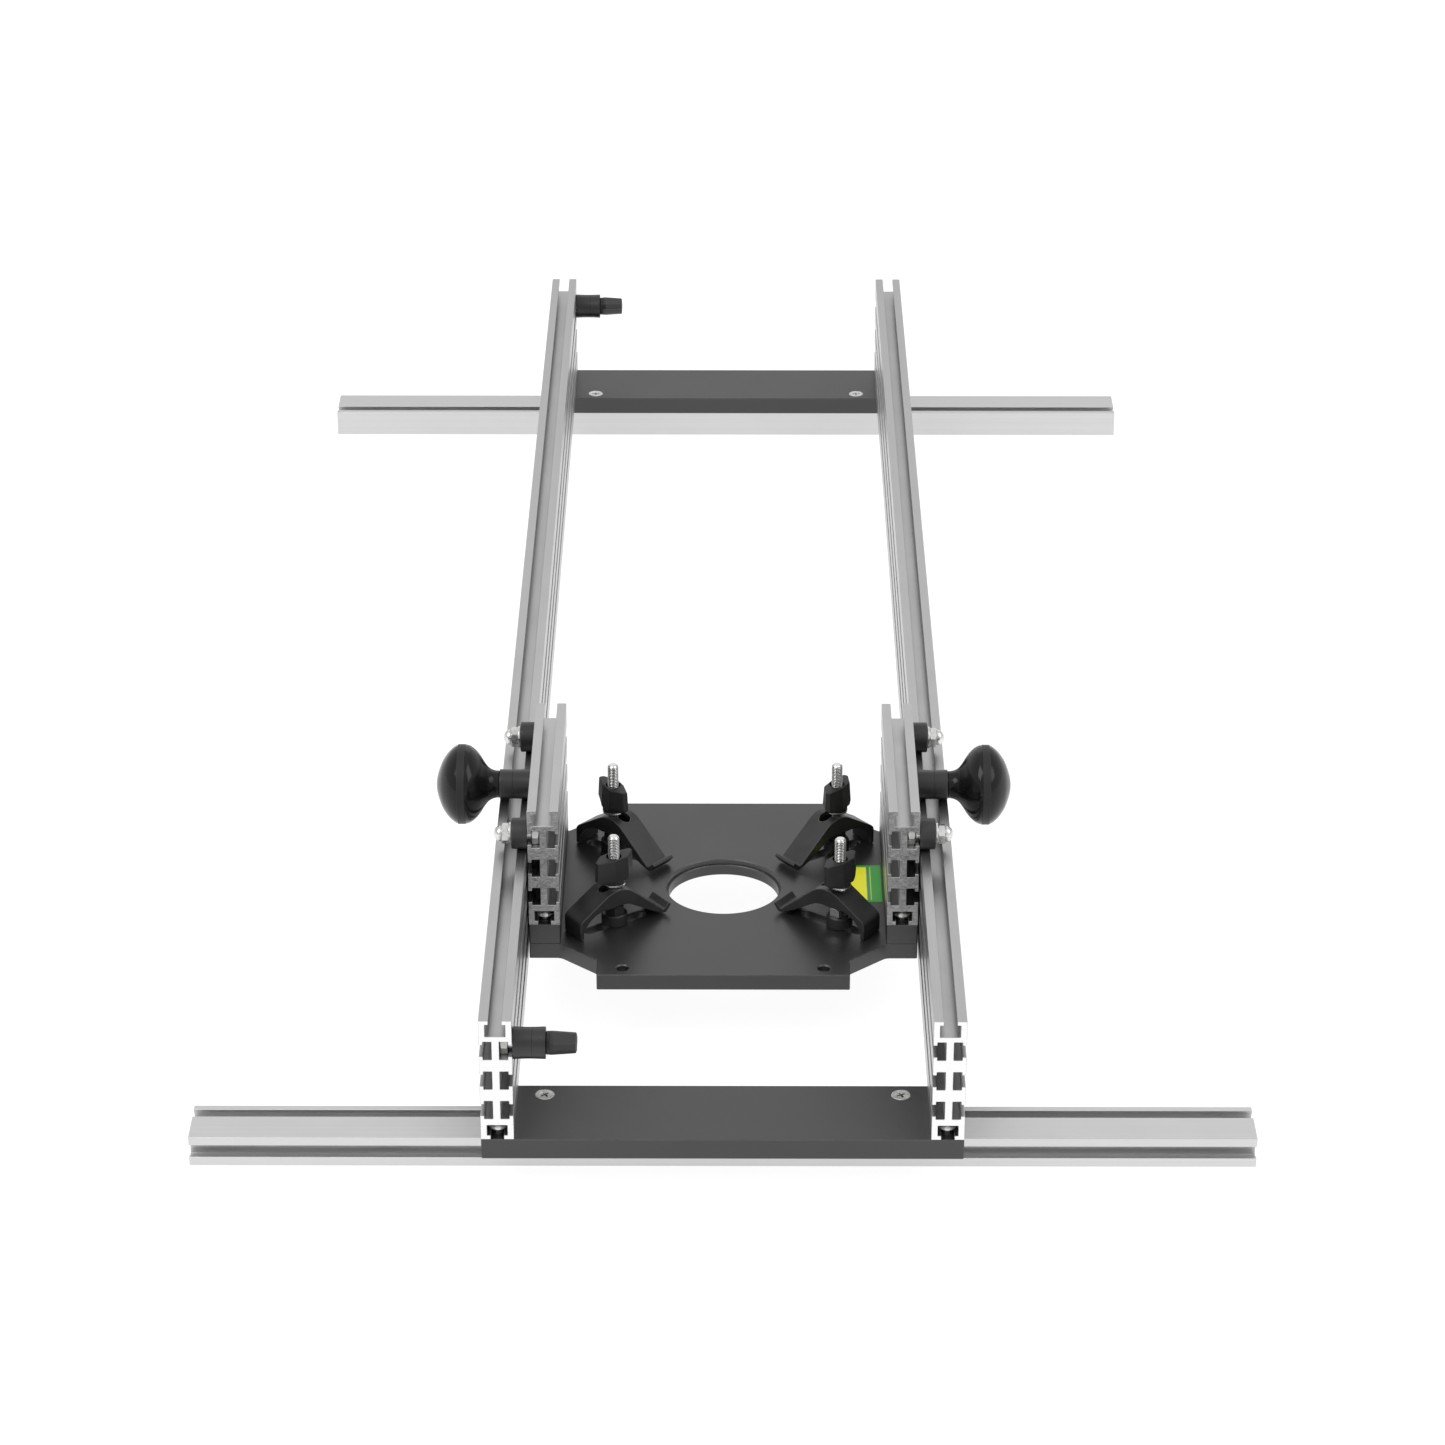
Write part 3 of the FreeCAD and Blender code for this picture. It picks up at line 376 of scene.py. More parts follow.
class Look:
    """A node material round one Principled shader."""

    def __init__(self, name, base, roughness, metallic=0.0, specular=0.5):
        self.material = bpy.data.materials.new(name)
        self.material.use_nodes = True
        self.tree = self.material.node_tree
        self.shader = self.tree.nodes["Principled BSDF"]
        self.shader.inputs["Base Color"].default_value = (*base, 1.0)
        self.shader.inputs["Roughness"].default_value = roughness
        self.shader.inputs["Metallic"].default_value = metallic
        self.shader.inputs["Specular IOR Level"].default_value = specular
        self.coordinates = self.node("ShaderNodeTexCoord")

    def node(self, kind, **inputs):
        made = self.tree.nodes.new(kind)
        for name, value in inputs.items():
            self.feed(made, name, value)
        return made

    def feed(self, node, name, value):
        socket = node.inputs[int(name[1:])] if name[0] == "_" else node.inputs[name]
        if isinstance(value, bpy.types.NodeSocket):
            self.tree.links.new(value, socket)
        else:
            socket.default_value = value

    def stretched(self, scale):
        """Row-frame position, scaled differently along each axis."""
        mapping = self.node("ShaderNodeMapping", Vector=self.coordinates.outputs["Object"], Scale=scale)
        return mapping.outputs["Vector"]

    def noise(self, scale, detail=3.0, roughness=0.55, distortion=0.0):
        made = self.node("ShaderNodeTexNoise", Vector=self.stretched(scale), Scale=1.0, Detail=detail,
                         Roughness=roughness, Distortion=distortion)
        return made.outputs["Fac"]

    def math(self, operation, first, second=0.0, clamp=False):
        made = self.node("ShaderNodeMath", _0=first, _1=second)
        made.operation = operation
        made.use_clamp = clamp
        return made.outputs[0]

    def between(self, value, low, high):
        """One inside the limits, zero outside them."""
        return self.math("MULTIPLY", self.math("GREATER_THAN", value, low),
                         self.math("LESS_THAN", value, high))

    def remap(self, value, low, high, new_low, new_high):
        made = self.node("ShaderNodeMapRange", Value=value)
        made.inputs["From Min"].default_value = low
        made.inputs["From Max"].default_value = high
        made.inputs["To Min"].default_value = new_low
        made.inputs["To Max"].default_value = new_high
        return made.outputs["Result"]

    def mix(self, factor, first, second):
        made = self.node("ShaderNodeMix")
        made.data_type = "RGBA"
        self.feed(made, "_0", factor)
        self.feed(made, "_6", first)
        self.feed(made, "_7", second)
        return made.outputs[2]

    def axis_of(self, output, axis):
        split = self.node("ShaderNodeSeparateXYZ", Vector=self.coordinates.outputs[output])
        return split.outputs[axis]

    def edge_mask(self, radius=0.0006):
        """One along edges, zero on flat stretches."""
        soft = self.node("ShaderNodeBevel", Radius=radius)
        soft.samples = 4
        geometry = self.node("ShaderNodeNewGeometry")
        dot = self.node("ShaderNodeVectorMath", _0=soft.outputs["Normal"], _1=geometry.outputs["Normal"])
        dot.operation = "DOT_PRODUCT"
        return self.remap(dot.outputs["Value"], 0.985, 0.8, 0.0, 1.0)

    def groove_shade_mask(self, reach):
        """Ambient-occlusion mask for painted shade: one deep in a groove, zero in the open."""
        shade = self.node("ShaderNodeAmbientOcclusion", Distance=reach)
        shade.samples = 4
        shade.only_local = True
        return self.remap(shade.outputs["AO"], 0.85, 0.45, 0.0, 1.0)

    def bump(self, height, distance, strength=1.0, normal=None):
        made = self.node("ShaderNodeBump", Height=height, Distance=distance, Strength=strength)
        if normal is not None:
            self.feed(made, "Normal", normal)
        self.feed(self.shader, "Normal", made.outputs["Normal"])
        return made.outputs["Normal"]

    def colour(self, socket):
        self.feed(self.shader, "Base Color", socket)

    def rough(self, socket):
        self.feed(self.shader, "Roughness", socket)


def grey(level, tint=0.0):
    return (level, level, level + tint)


def extruded_aluminium(name, level, along, roughness, sawn_low, sawn_high):
    """Satin anodised extrusion: die lines along its length and scratched, sawn ends."""
    look = Look(name, grey(level, 0.004), roughness, metallic=1.0)
    axis = {"X": 0, "Y": 1}[along]
    fine = [1400.0, 1400.0, 1400.0]
    broad = [260.0, 260.0, 260.0]
    fine[axis] = 2.0
    broad[axis] = 0.8
    lines = look.noise(fine, detail=2.0)
    bands = look.noise(broad, detail=2.0)
    mottle = look.noise((30.0, 30.0, 30.0), detail=4.0)
    across = look.axis_of("Normal", axis)
    cut = look.math("GREATER_THAN", look.math("ABSOLUTE", across), 0.85)
    saw = look.noise((420.0, 420.0, 900.0), detail=5.0, roughness=0.7, distortion=2.0)
    swirl = look.noise((150.0, 150.0, 380.0), detail=4.0, distortion=2.5)
    drawn = look.mix(lines, (*grey(level * 0.88), 1.0), (*grey(level * 1.08), 1.0))
    drawn = look.mix(look.math("MULTIPLY", bands, 0.35), drawn, (*grey(level * 0.80), 1.0))
    streak = look.math("ADD", look.math("MULTIPLY", saw, 0.55), look.math("MULTIPLY", swirl, 0.45))
    sawn = look.mix(look.remap(streak, 0.36, 0.62, 0.0, 1.0), (*grey(sawn_low), 1.0), (*grey(sawn_high), 1.0))
    look.colour(look.mix(cut, drawn, sawn))
    plain = look.math("ADD", look.remap(lines, 0.2, 0.8, roughness - 0.05, roughness + 0.07),
                      look.remap(mottle, 0.3, 0.7, -0.03, 0.03))
    rough_cut = look.remap(swirl, 0.3, 0.7, 0.38, 0.62)
    difference = look.math("MULTIPLY", look.math("SUBTRACT", rough_cut, plain), cut)
    look.rough(look.math("ADD", plain, difference))
    scratches = look.math("MULTIPLY", look.math("MULTIPLY", saw, cut), 1.2)
    look.bump(look.math("ADD", look.math("MULTIPLY", lines, 0.35), scratches), 0.00006, 0.5)
    return look.material


def black_plate():
    """Black anodised plate: even fine grain, a soft sheen and paler edges that are a painted highlight."""
    look = Look("black_plate", grey(0.014), 0.36, specular=0.78)
    grain = look.noise((2600.0, 2600.0, 2600.0), detail=2.0)
    cloud = look.noise((14.0, 14.0, 14.0), detail=5.0)
    edge = look.edge_mask(0.0007)
    tone = look.mix(look.remap(cloud, 0.3, 0.7, 0.0, 1.0), (*grey(0.011), 1.0), (*grey(0.018, 0.001), 1.0))
    # Painted highlight: edges found by the bevel mask are lightened in patches, standing in for light caught
    # on the chamfers.
    painted_edge_highlight = look.math("MULTIPLY", edge, look.remap(look.noise((90.0, 90.0, 90.0)), 0.3, 0.6, 0.35, 0.9))
    look.colour(look.mix(painted_edge_highlight, tone, (*grey(0.16), 1.0)))
    look.rough(look.math("ADD", look.remap(grain, 0.2, 0.8, 0.32, 0.42),
                         look.remap(cloud, 0.3, 0.7, -0.03, 0.04)))
    look.bump(grain, 0.00003, 0.6)
    return look.material


def bright_steel():
    """Zinc-plated steel: bright, faintly cloudy, finely grained, with painted shade darkening its grooves."""
    look = Look("bright_steel", grey(0.74), 0.22, metallic=1.0)
    cloud = look.noise((220.0, 220.0, 220.0), detail=4.0)
    grain = look.noise((3000.0, 3000.0, 3000.0), detail=2.0)
    plating = look.mix(look.remap(cloud, 0.3, 0.7, 0.0, 1.0), (0.58, 0.58, 0.57, 1.0),
                       (0.80, 0.80, 0.78, 1.0))
    # Painted shade: the colour goes nearly black where the ambient-occlusion mask finds a groove, such as
    # between thread turns.
    look.colour(look.mix(look.groove_shade_mask(0.0012), plating, (0.03, 0.03, 0.03, 1.0)))
    look.rough(look.math("ADD", look.remap(grain, 0.3, 0.7, 0.14, 0.24),
                         look.remap(cloud, 0.3, 0.7, 0.0, 0.1)))
    look.bump(grain, 0.00002, 0.4)
    return look.material


def black_coat(name, level, roughness, grain_size, depth, edge_wear_and_highlight):
    """Black coating or moulded plastic, its grain and its pale edges, part wear and part painted highlight,
    set by the caller.
    """
    look = Look(name, grey(level), roughness)
    scale = 1.0 / grain_size
    grain = look.noise((scale, scale, scale), detail=3.0, roughness=0.6)
    cloud = look.noise((60.0, 60.0, 60.0), detail=4.0)
    tone = look.mix(look.remap(cloud, 0.3, 0.7, 0.0, 1.0), (*grey(level * 0.8), 1.0),
                    (*grey(level * 1.25), 1.0))
    # Pale edges from the bevel mask: part edge wear, part painted highlight of light caught on the rounded
    # edges.
    if edge_wear_and_highlight:
        edge = look.edge_mask(0.0005)
        patchy = look.remap(look.noise((300.0, 300.0, 300.0)), 0.35, 0.6, 0.25, 1.0)
        tone = look.mix(look.math("MULTIPLY", edge, patchy), tone, (*grey(edge_wear_and_highlight), 1.0))
    look.colour(tone)
    look.rough(look.math("ADD", look.remap(grain, 0.25, 0.75, roughness - 0.05, roughness + 0.06),
                         look.remap(cloud, 0.3, 0.7, -0.02, 0.03)))
    look.bump(grain, depth, 0.7)
    return look.material


def knob_black():
    """Polished black plastic with a matte band round the rim."""
    look = Look("knob_black", grey(0.006), 0.16, specular=0.27)
    reach = look.math("ABSOLUTE", look.axis_of("Object", 0))
    start, finish = (SHORT_FACE_X + 47.2) * MM, (SHORT_FACE_X + 52.6) * MM
    band = look.between(reach, start, finish)
    smear = look.noise((40.0, 40.0, 40.0), detail=5.0)
    grain = look.noise((2200.0, 2200.0, 2200.0), detail=2.0)
    polish = look.remap(smear, 0.3, 0.7, 0.12, 0.2)
    look.colour(look.mix(band, (0.006, 0.006, 0.006, 1.0), (0.018, 0.018, 0.018, 1.0)))
    look.rough(look.math("ADD", polish, look.math("MULTIPLY", band, 0.3)))
    look.bump(look.math("MULTIPLY", grain, look.math("ADD", band, 0.06)), 0.00005, 0.6)
    return look.material


def label_film():
    """Printed film: green ground, yellow field, teal rules. It carries no lettering."""
    look = Look("label_film", (0.05, 0.35, 0.06), 0.35)
    x = look.math("MULTIPLY", look.axis_of("Object", 0), 1000.0)
    y = look.math("MULTIPLY", look.axis_of("Object", 1), 1000.0)

    def box(x0, x1, y0, y1):
        return look.math("MULTIPLY", look.between(x, x0, x1), look.between(y, y0, y1))

    fade = look.noise((300.0, 300.0, 300.0), detail=3.0)
    tone = look.mix(fade, (0.01, 0.26, 0.02, 1.0), (0.03, 0.40, 0.03, 1.0))
    tone = look.mix(box(88.0, 103.5, -386.0, -336.0), tone, (0.93, 0.90, 0.0, 1.0))
    tone = look.mix(box(104.2, 105.0, -386.0, -336.0), tone, (0.02, 0.22, 0.20, 1.0))
    tone = look.mix(box(105.9, 106.6, -386.0, -336.0), tone, (0.55, 0.70, 0.04, 1.0))
    look.colour(tone)
    look.rough(look.remap(fade, 0.3, 0.7, 0.28, 0.42))
    look.bump(fade, 0.00002, 0.4)
    return look.material


RAIL_METAL = extruded_aluminium("rail_aluminium", 0.50, "Y", 0.34, 0.80, 0.98)
# Painted shade: the short rails share the long rails' extrusion, but their sawn ends are painted much darker
# (0.12 to 0.56 against 0.80 to 0.98) to stand in for the shade on them.
SHORT_RAIL_METAL_SHADED_ENDS = extruded_aluminium("short_rail_aluminium_shaded_ends", 0.52, "Y", 0.34, 0.12, 0.56)
CROSS_METAL = extruded_aluminium("cross_rail_aluminium", 0.66, "X", 0.36, 0.55, 0.9)
PLATE_BLACK = black_plate()
STEEL = bright_steel()
KNOB_BLACK = knob_black()
SLEEVE_BLACK = black_coat("sleeve_black", 0.016, 0.34, 0.0006, 0.00003, 0.0)
ROLLER_BLACK = black_coat("roller_black", 0.018, 0.40, 0.0007, 0.00004, 0.05)
ARM_BLACK = black_coat("arm_black", 0.024, 0.36, 0.0005, 0.00003, 0.30)
NUT_BLACK = black_coat("nut_black", 0.020, 0.30, 0.0005, 0.00003, 0.12)
WING_BLACK = black_coat("wing_black", 0.017, 0.52, 0.0008, 0.00012, 0.06)
LABEL_FILM = label_film()


# ---------------------------------------------------------------- rails and plates

SIDE_SLOTS = [(SLOT_PITCH * level, SIDE_LIP, 5.8) for level in (1, 2, 3)]


def tall_section():
    half = RAIL_WIDTH / 2
    outline = section(RAIL_WIDTH, RAIL_HEIGHT, bottom=[(half, SLOT_LIP, 7.8)], right=SIDE_SLOTS,
                      top=[(half, SLOT_LIP, 8.9)], left=SIDE_SLOTS)
    return rounded([point - Vector((half, 0)) for point in outline], 0.35)


def tall_rail(name, x, y, z, length, body, metal):
    shape = Shape().at(x, y, z, TO_FRONT)
    shape.slab([(tall_section(), chamfered(length / 2, -length / 2, 0.25))])
    shape.write(name + "_extrusion", metal, body, [name], "rail_aluminium")


def cross_rail(end):
    name = "cross_rail_" + END_NAMES[end]
    top_slot, outer_slot = 9.8, 10.8
    outline = section(41.5, PLATE_Z, top=[(top_slot, SLOT_LIP, 6.0)],
                      left=[(outer_slot, SLOT_LIP, 6.0)])
    turn = Matrix(((0, 0, 1, 0), (-end, 0, 0, 0), (0, 1, 0, 0), (0, 0, 0, 1)))
    shape = Shape().at(0, CROSS_RAIL_Y * end, 0, turn)
    shape.slab([(rounded(outline, 0.5), chamfered(CROSS_RAIL_HALF_LENGTH, -CROSS_RAIL_HALF_LENGTH, 0.3))])
    shape.write(name + "_extrusion", CROSS_METAL, "frame", [name], "cross_rail_aluminium")


def cross_plate(end):
    name = "cross_plate_" + END_NAMES[end]
    outline = rounded(rectangle(-CROSS_PLATE_HALF_LENGTH, -CROSS_PLATE_HALF_WIDTH, CROSS_PLATE_HALF_LENGTH,
                                CROSS_PLATE_HALF_WIDTH), 1.2, 4)
    loops = [(outline, chamfered(RAIL_Z, PLATE_Z, 0.5))]
    screw_wall = [(3.6, RAIL_Z), (3.35, RAIL_Z - 0.25), (0.2, RAIL_Z - 3.3), (0, RAIL_Z - 3.6), (0, PLATE_Z)]
    for side in (LEFT, RIGHT):
        loops.append((circle(3.3, (PLATE_SCREW_X * side, -PLATE_SCREW_INSET * end)), screw_wall))
        bolt_hole = circle(THREAD_BORE_RADIUS, (RAIL_X * side, RAIL_BOLT_REACH * end))
        loops.append((bolt_hole, hole_wall(RAIL_Z, PLATE_Z, 0.3)))
    shape = Shape().at(0, CROSS_PLATE_Y * end, 0)
    shape.slab(loops)
    shape.write(name + "_panel", PLATE_BLACK, "frame", [name], "black_plate")


def inward_angle(end, side):
    """Direction of a clamp's slot, towards the middle of the router plate."""
    return math.atan2(-CLAMP_Y * end, -CLAMP_X * side)


def router_plate():
    quarter = [(88.5, 131), (88.5, 110), (115, 86), (137, 86)]
    right = [(x, -y) for x, y in quarter] + list(reversed(quarter))
    left = [(-x, -y) for x, y in right]
    radii = [1.0, 0.4, 8.0, 1.0, 1.0, 8.0, 0.4, 1.0] * 2
    corners = rounded(right + left, radii, 6)
    loops = [(corners, chamfered(DECK_Z, ROUTER_PLATE_Z, 0.5))]
    rebate = DECK_Z - 4.0
    loops.append((circle(39.75, steps=160), [
        (2.0, DECK_Z), (1.5, DECK_Z - 0.5), (1.5, rebate), (0.5, rebate), (0, rebate - 0.5),
        (0, ROUTER_PLATE_Z + 0.5), (0.5, ROUTER_PLATE_Z)]))
    for end, side in CORNERS:
        loops.append((stadium(26, 4.3, (CLAMP_X * side, CLAMP_Y * end), inward_angle(end, side)),
                      hole_wall(DECK_Z, ROUTER_PLATE_Z, 0.5)))
        loops.append((circle(THREAD_BORE_RADIUS, (SHORT_RAIL_X * side, CARRIAGE_BOLT_REACH * end), 48),
                      hole_wall(DECK_Z, ROUTER_PLATE_Z, 0.3)))
    for side in (LEFT, RIGHT):
        nose_hole = circle(BOLT_HOLE_RADIUS, (70.5 * side, -121), 48)
        loops.append((nose_hole, hole_wall(DECK_Z, ROUTER_PLATE_Z, 0.8)))
    shape = Shape().at(0, CARRIAGE_Y, 0)
    shape.slab(loops)
    shape.write("router_plate_panel", PLATE_BLACK, "carriage", ["router_plate"], "black_plate")


def spacer(side):
    name = "spacer_" + SIDE_NAMES[side]
    half_width, half_length = RAIL_WIDTH / 2, SHORT_LENGTH / 2
    outline = rounded(rectangle(-half_width, -half_length, half_width, half_length), 1.0, 4)
    loops = [(outline, chamfered(SHORT_RAIL_Z, DECK_Z, 0.4))]
    for end in (FRONT, REAR):
        bolt_hole = circle(BOLT_HOLE_RADIUS, (0, CARRIAGE_BOLT_REACH * end), 48)
        loops.append((bolt_hole, hole_wall(SHORT_RAIL_Z, DECK_Z, 0.3)))
    shape = Shape().at(SHORT_RAIL_X * side, CARRIAGE_Y, 0)
    shape.slab(loops)
    shape.write(name + "_bar", PLATE_BLACK, "carriage", [name], "black_plate")


def plate_label():
    outline = rounded(rectangle(-14, -28, 14, 28), 1.0, 4)
    shape = Shape().at(100, CARRIAGE_Y + 4, 0)
    shape.slab([(outline, [(-0.05, DECK_Z + 0.15), (0, DECK_Z + 0.1), (0, DECK_Z)])])
    shape.write("plate_label_film", LABEL_FILM, "carriage", ["plate_label"], "label_green")


# ---------------------------------------------------------------- fasteners

def dome_bolt_rows(length):
    """Domed head above local Z = 0, plain shank below it."""
    dome = [(6.5 * math.cos(t), 0.6 + 4.0 * math.sin(t)) for t in (math.radians(9 * k) for k in range(11))]
    return [(0, -length), (3.2, -length), (3.9, -length + 0.8), (3.9, 0), (6.3, 0), (6.5, 0.25)] + dome


def hex_head(shape):
    """Bolt head below local Z = 0 with its washer face towards the shank."""
    rows = hex_rows(HEX_FLAT, -HEX_HEAD_HEIGHT, -0.3, 0.0, phase=math.radians(30))
    shape.turned(rows, 72)
    shape.turned([(0, -0.4), (6.1, -0.4), (6.2, -0.2), (6.1, 0), (0, 0)])


def base_fasteners():
    bolts, screws = Shape(), Shape()
    for end, side in CORNERS:
        bolt_y = (CROSS_PLATE_Y + RAIL_BOLT_REACH) * end
        bolts.at(RAIL_X * side, bolt_y, RAIL_Z + SLOT_LIP).turned(dome_bolt_rows(17))
        screw_y = (CROSS_PLATE_Y - PLATE_SCREW_INSET) * end
        screws.at(PLATE_SCREW_X * side, screw_y, RAIL_Z, turn_about("Z", 18 + 31 * end + 40 * side))
        countersunk_screw(screws)
    bolts.write("rail_bolts_turned", STEEL, "frame", ["rail_bolts"], "bright_steel")
    screws.write("cross_plate_screws_turned", STEEL, "frame", ["cross_plate_screws"], "bright_steel")


def countersunk_screw(shape):
    """Flat head with a tapered cross recess, top at local Z = 0."""
    arm, wing = 3.3, 0.75
    cross = [(arm, -wing), (arm, wing), (wing, wing), (wing, arm), (-wing, arm), (-wing, wing),
             (-arm, wing), (-arm, -wing), (-wing, -wing), (-wing, -arm), (wing, -arm), (wing, -wing)]
    cross = rounded(cross, 0.25, 2)
    rim = shape.ring(circle(6.3, steps=64), -0.05)
    mouth = shape.ring(cross, -0.12)
    shape.fill([rim, mouth])
    lower = shape.ring([point * 0.62 for point in cross], -2.3)
    shape.bridge(lower, mouth)
    shape.face(lower)
    shape.turned([(6.3, -0.05), (6.55, -0.2), (6.55, -0.35), (3.1, -3.6), (2.95, -3.9), (2.95, -22.5),
                  (2.2, -23.3), (0, -23.3)])


def carriage_fasteners():
    bolts = Shape()
    for end, side in CORNERS:
        x, y = SHORT_RAIL_X * side, CARRIAGE_Y + CARRIAGE_BOLT_REACH * end
        bolts.at(x, y, SHORT_RAIL_Z + SLOT_LIP).turned(dome_bolt_rows(29))
    bolts.write("carriage_bolts_turned", STEEL, "carriage", ["carriage_bolts"], "bright_steel")


# ---------------------------------------------------------------- handles and rollers

def smooth_profile(points, per_span=6):
    """Curve through the (radius, z) points."""
    result = []
    padded = [points[0], *points, points[-1]]
    for index in range(1, len(padded) - 2):
        p0, p1, p2, p3 = (Vector(padded[index + k]) for k in (-1, 0, 1, 2))
        linear = p2 - p0
        square = 2 * p0 - 5 * p1 + 4 * p2 - p3
        cube = 3 * p1 - p0 - 3 * p2 + p3
        for step in range(per_span):
            t = step / per_span
            result.append(tuple(0.5 * (2 * p1 + linear * t + square * t * t + cube * t ** 3)))
    result.append(tuple(points[-1]))
    return result


def sleeve_rows(length, radius=10.75):
    """Closed section of a sleeve with a faint waist and a parting line."""
    rows = [(4.3, 0.4), (4.7, 0.0), (radius - 0.6, 0.0), (radius - 0.15, 0.15), (radius, 0.6)]
    for step in range(1, 12):
        t = step / 12
        waist = 0.3 * math.sin(math.pi * t)
        rows.append((radius - waist, 0.6 + (length - 1.2) * t))
        if step == 7:
            z = rows[-1][1]
            rows += [(radius - waist, z + 0.1), (radius - waist - 0.18, z + 0.2), (radius - waist, z + 0.3)]
    return rows + [(radius, length - 0.6), (radius - 0.15, length - 0.15), (radius - 0.6, length),
                   (4.7, length), (4.3, length - 0.4), (4.3, 0.4)]


def knob_rows():
    """Neck, flared back, banded rim and domed front."""
    back = smooth_profile([(9.75, 0.5), (9.9, 2.5), (10.5, 5.0), (12.3, 8.0), (15.8, 10.8), (20.0, 13.4),
                           (23.6, 16.2), (26.2, 19.0), (27.8, 21.6), (28.4, 23.9)])
    front = smooth_profile([(28.35, 29.8), (27.2, 32.0), (24.9, 34.9), (21.7, 37.7), (17.2, 40.6),
                            (11.6, 42.9), (5.6, 44.6), (0.0, 45.2)])
    band = [(28.35, 24.05), (28.55, 24.15), (28.6, 24.6), (28.6, 29.1), (28.55, 29.55), (28.4, 29.65)]
    return [(4.1, 1.0), (4.6, 0.0), (9.2, 0.0)] + back + band + front


def handles():
    bolts, sleeves = Shape(), Shape()
    for side in (LEFT, RIGHT):
        turn = outward(side)
        bolts.at((SHORT_FACE_X - SIDE_LIP) * side, CARRIAGE_Y, AXLE_Z, turn)
        hex_head(bolts)
        bolts.turned([(0, 0), (3.9, 0), (3.9, 42.5), (3.3, 43.5), (0, 43.5)])
        sleeves.at(SHORT_FACE_X * side, CARRIAGE_Y, AXLE_Z, turn)
        sleeves.turned(sleeve_rows(HANDLE_SLEEVE_LENGTH), 96)
        name = "handle_knob_" + SIDE_NAMES[side]
        knob = Shape().at((SHORT_FACE_X + HANDLE_SLEEVE_LENGTH) * side, CARRIAGE_Y, AXLE_Z, turn)
        knob.turned(knob_rows(), 128)
        knob.write(name + "_moulding", KNOB_BLACK, "carriage", [name], "gloss_black", 50)
    bolts.write("handle_bolts_turned", STEEL, "carriage", ["handle_bolts"], "bright_steel")
    sleeves.write("handle_sleeves_moulding", SLEEVE_BLACK, "carriage", ["handle_sleeves"], "satin_black")


def dome_nut(shape):
    shape.turned(hex_rows(HEX_FLAT, 0, 5.0, THREAD_BORE_RADIUS, phase=math.radians(14)), 72)
    dome = [(5.6 * math.cos(t), 5.9 + 4.7 * math.sin(t)) for t in (math.radians(6 * k) for k in range(16))]
    shape.turned([(4.5, 4.8), (5.6, 4.9), (5.6, 5.5)] + dome)


def rollers():
    bolts, washers, nuts = Shape(), Shape(), Shape()
    for end, side in CORNERS:
        turn = outward(side)
        y = CARRIAGE_Y + ROLLER_REACH * end
        tag = f"{END_NAMES[end]}_{SIDE_NAMES[side]}"
        bolts.at((SHORT_FACE_X - SIDE_LIP) * side, y, AXLE_Z, turn)
        hex_head(bolts)
        bolts.turned([(0, 0), (3.9, 0), (3.9, 19.8), (0, 20.2)])
        wheel = Shape().at((SHORT_FACE_X + 0.25) * side, y, AXLE_Z, turn)
        wheel.turned([(5.05, 0.3), (5.35, 0.0), (10.1, 0.0), (10.7, 0.25), (10.95, 0.8), (10.95, 10.0),
                      (10.75, 10.6), (10.2, 11.0), (8.6, 11.0), (8.3, 10.7), (5.35, 10.7), (5.05, 10.4),
                      (5.05, 0.3)], 96)
        wheel.write(f"roller_{tag}_wheel", ROLLER_BLACK, "roller_" + tag, ["roller_" + tag], "satin_black")
        washers.at((SHORT_FACE_X + 11.5) * side, y, AXLE_Z, turn)
        washers.turned(ring_rows(THREAD_BORE_RADIUS, WASHER_RADIUS, 0, WASHER_THICKNESS))
        nuts.at((SHORT_FACE_X + 11.5 + WASHER_THICKNESS) * side, y, AXLE_Z, turn)
        dome_nut(nuts)
    bolts.write("roller_bolts_turned", STEEL, "carriage", ["roller_bolts"], "bright_steel")
    washers.write("roller_washers_turned", STEEL, "carriage", ["roller_washers"], "bright_steel")
    nuts.write("roller_dome_nuts_turned", STEEL, "carriage", ["roller_dome_nuts"], "bright_steel")


# ---------------------------------------------------------------- clamps and stops

WING_PLAN = [(-17.0, -4.5), (-4.0, -7.9), (8.0, -7.35), (17.0, 0.45), (17.0, 4.5), (4.0, 7.9), (-8.0, 7.35),
             (-17.0, -0.45)]


def wing_outline(length_share, width_share):
    scaled = [(x * length_share, y * width_share) for x, y in WING_PLAN]
    return rounded(scaled, 0.9, 4)


def wing_nut(name, place, body, node):
    """Two-lobed nut on a round neck, its top edge and lobe ends softened."""
    shape = Shape()
    shape.place = place
    shape.turned([(4.3, 0.5), (4.8, 0.0), (7.35, 0.0), (7.85, 0.5), (7.85, 3.5), (4.3, 3.5), (4.3, 0.5)])
    levels = [(2.4, 0.76, 0.98, 0.0), (2.8, 0.81, 1.0, 0.0), (5.5, 1.0, 0.98, 0.0), (19.1, 0.973, 0.86, 0.0),
              (19.75, 0.97, 0.85, -0.2), (20.0, 0.97, 0.84, -0.7)]
    rings = [shape.ring(grown(wing_outline(length, width), shift), z) for z, length, width, shift in levels]
    for lower, upper in zip(rings, rings[1:]):
        shape.bridge(lower, upper)
    mouth = shape.ring(circle(5.7, steps=64), 20.0)
    shape.fill([rings[-1], mouth])
    root = shape.ring(circle(4.3, steps=64), 2.4)
    shape.fill([rings[0], root])
    wall = [shape.ring(circle(radius, steps=64), z) for radius, z in ((5.4, 19.7), (5.4, 15.0), (4.3, 15.0))]
    for upper, lower in zip([mouth] + wall, wall + [root]):
        shape.bridge(lower, upper)
    shape.write(name, WING_BLACK, body, [node], "textured_black", 28)


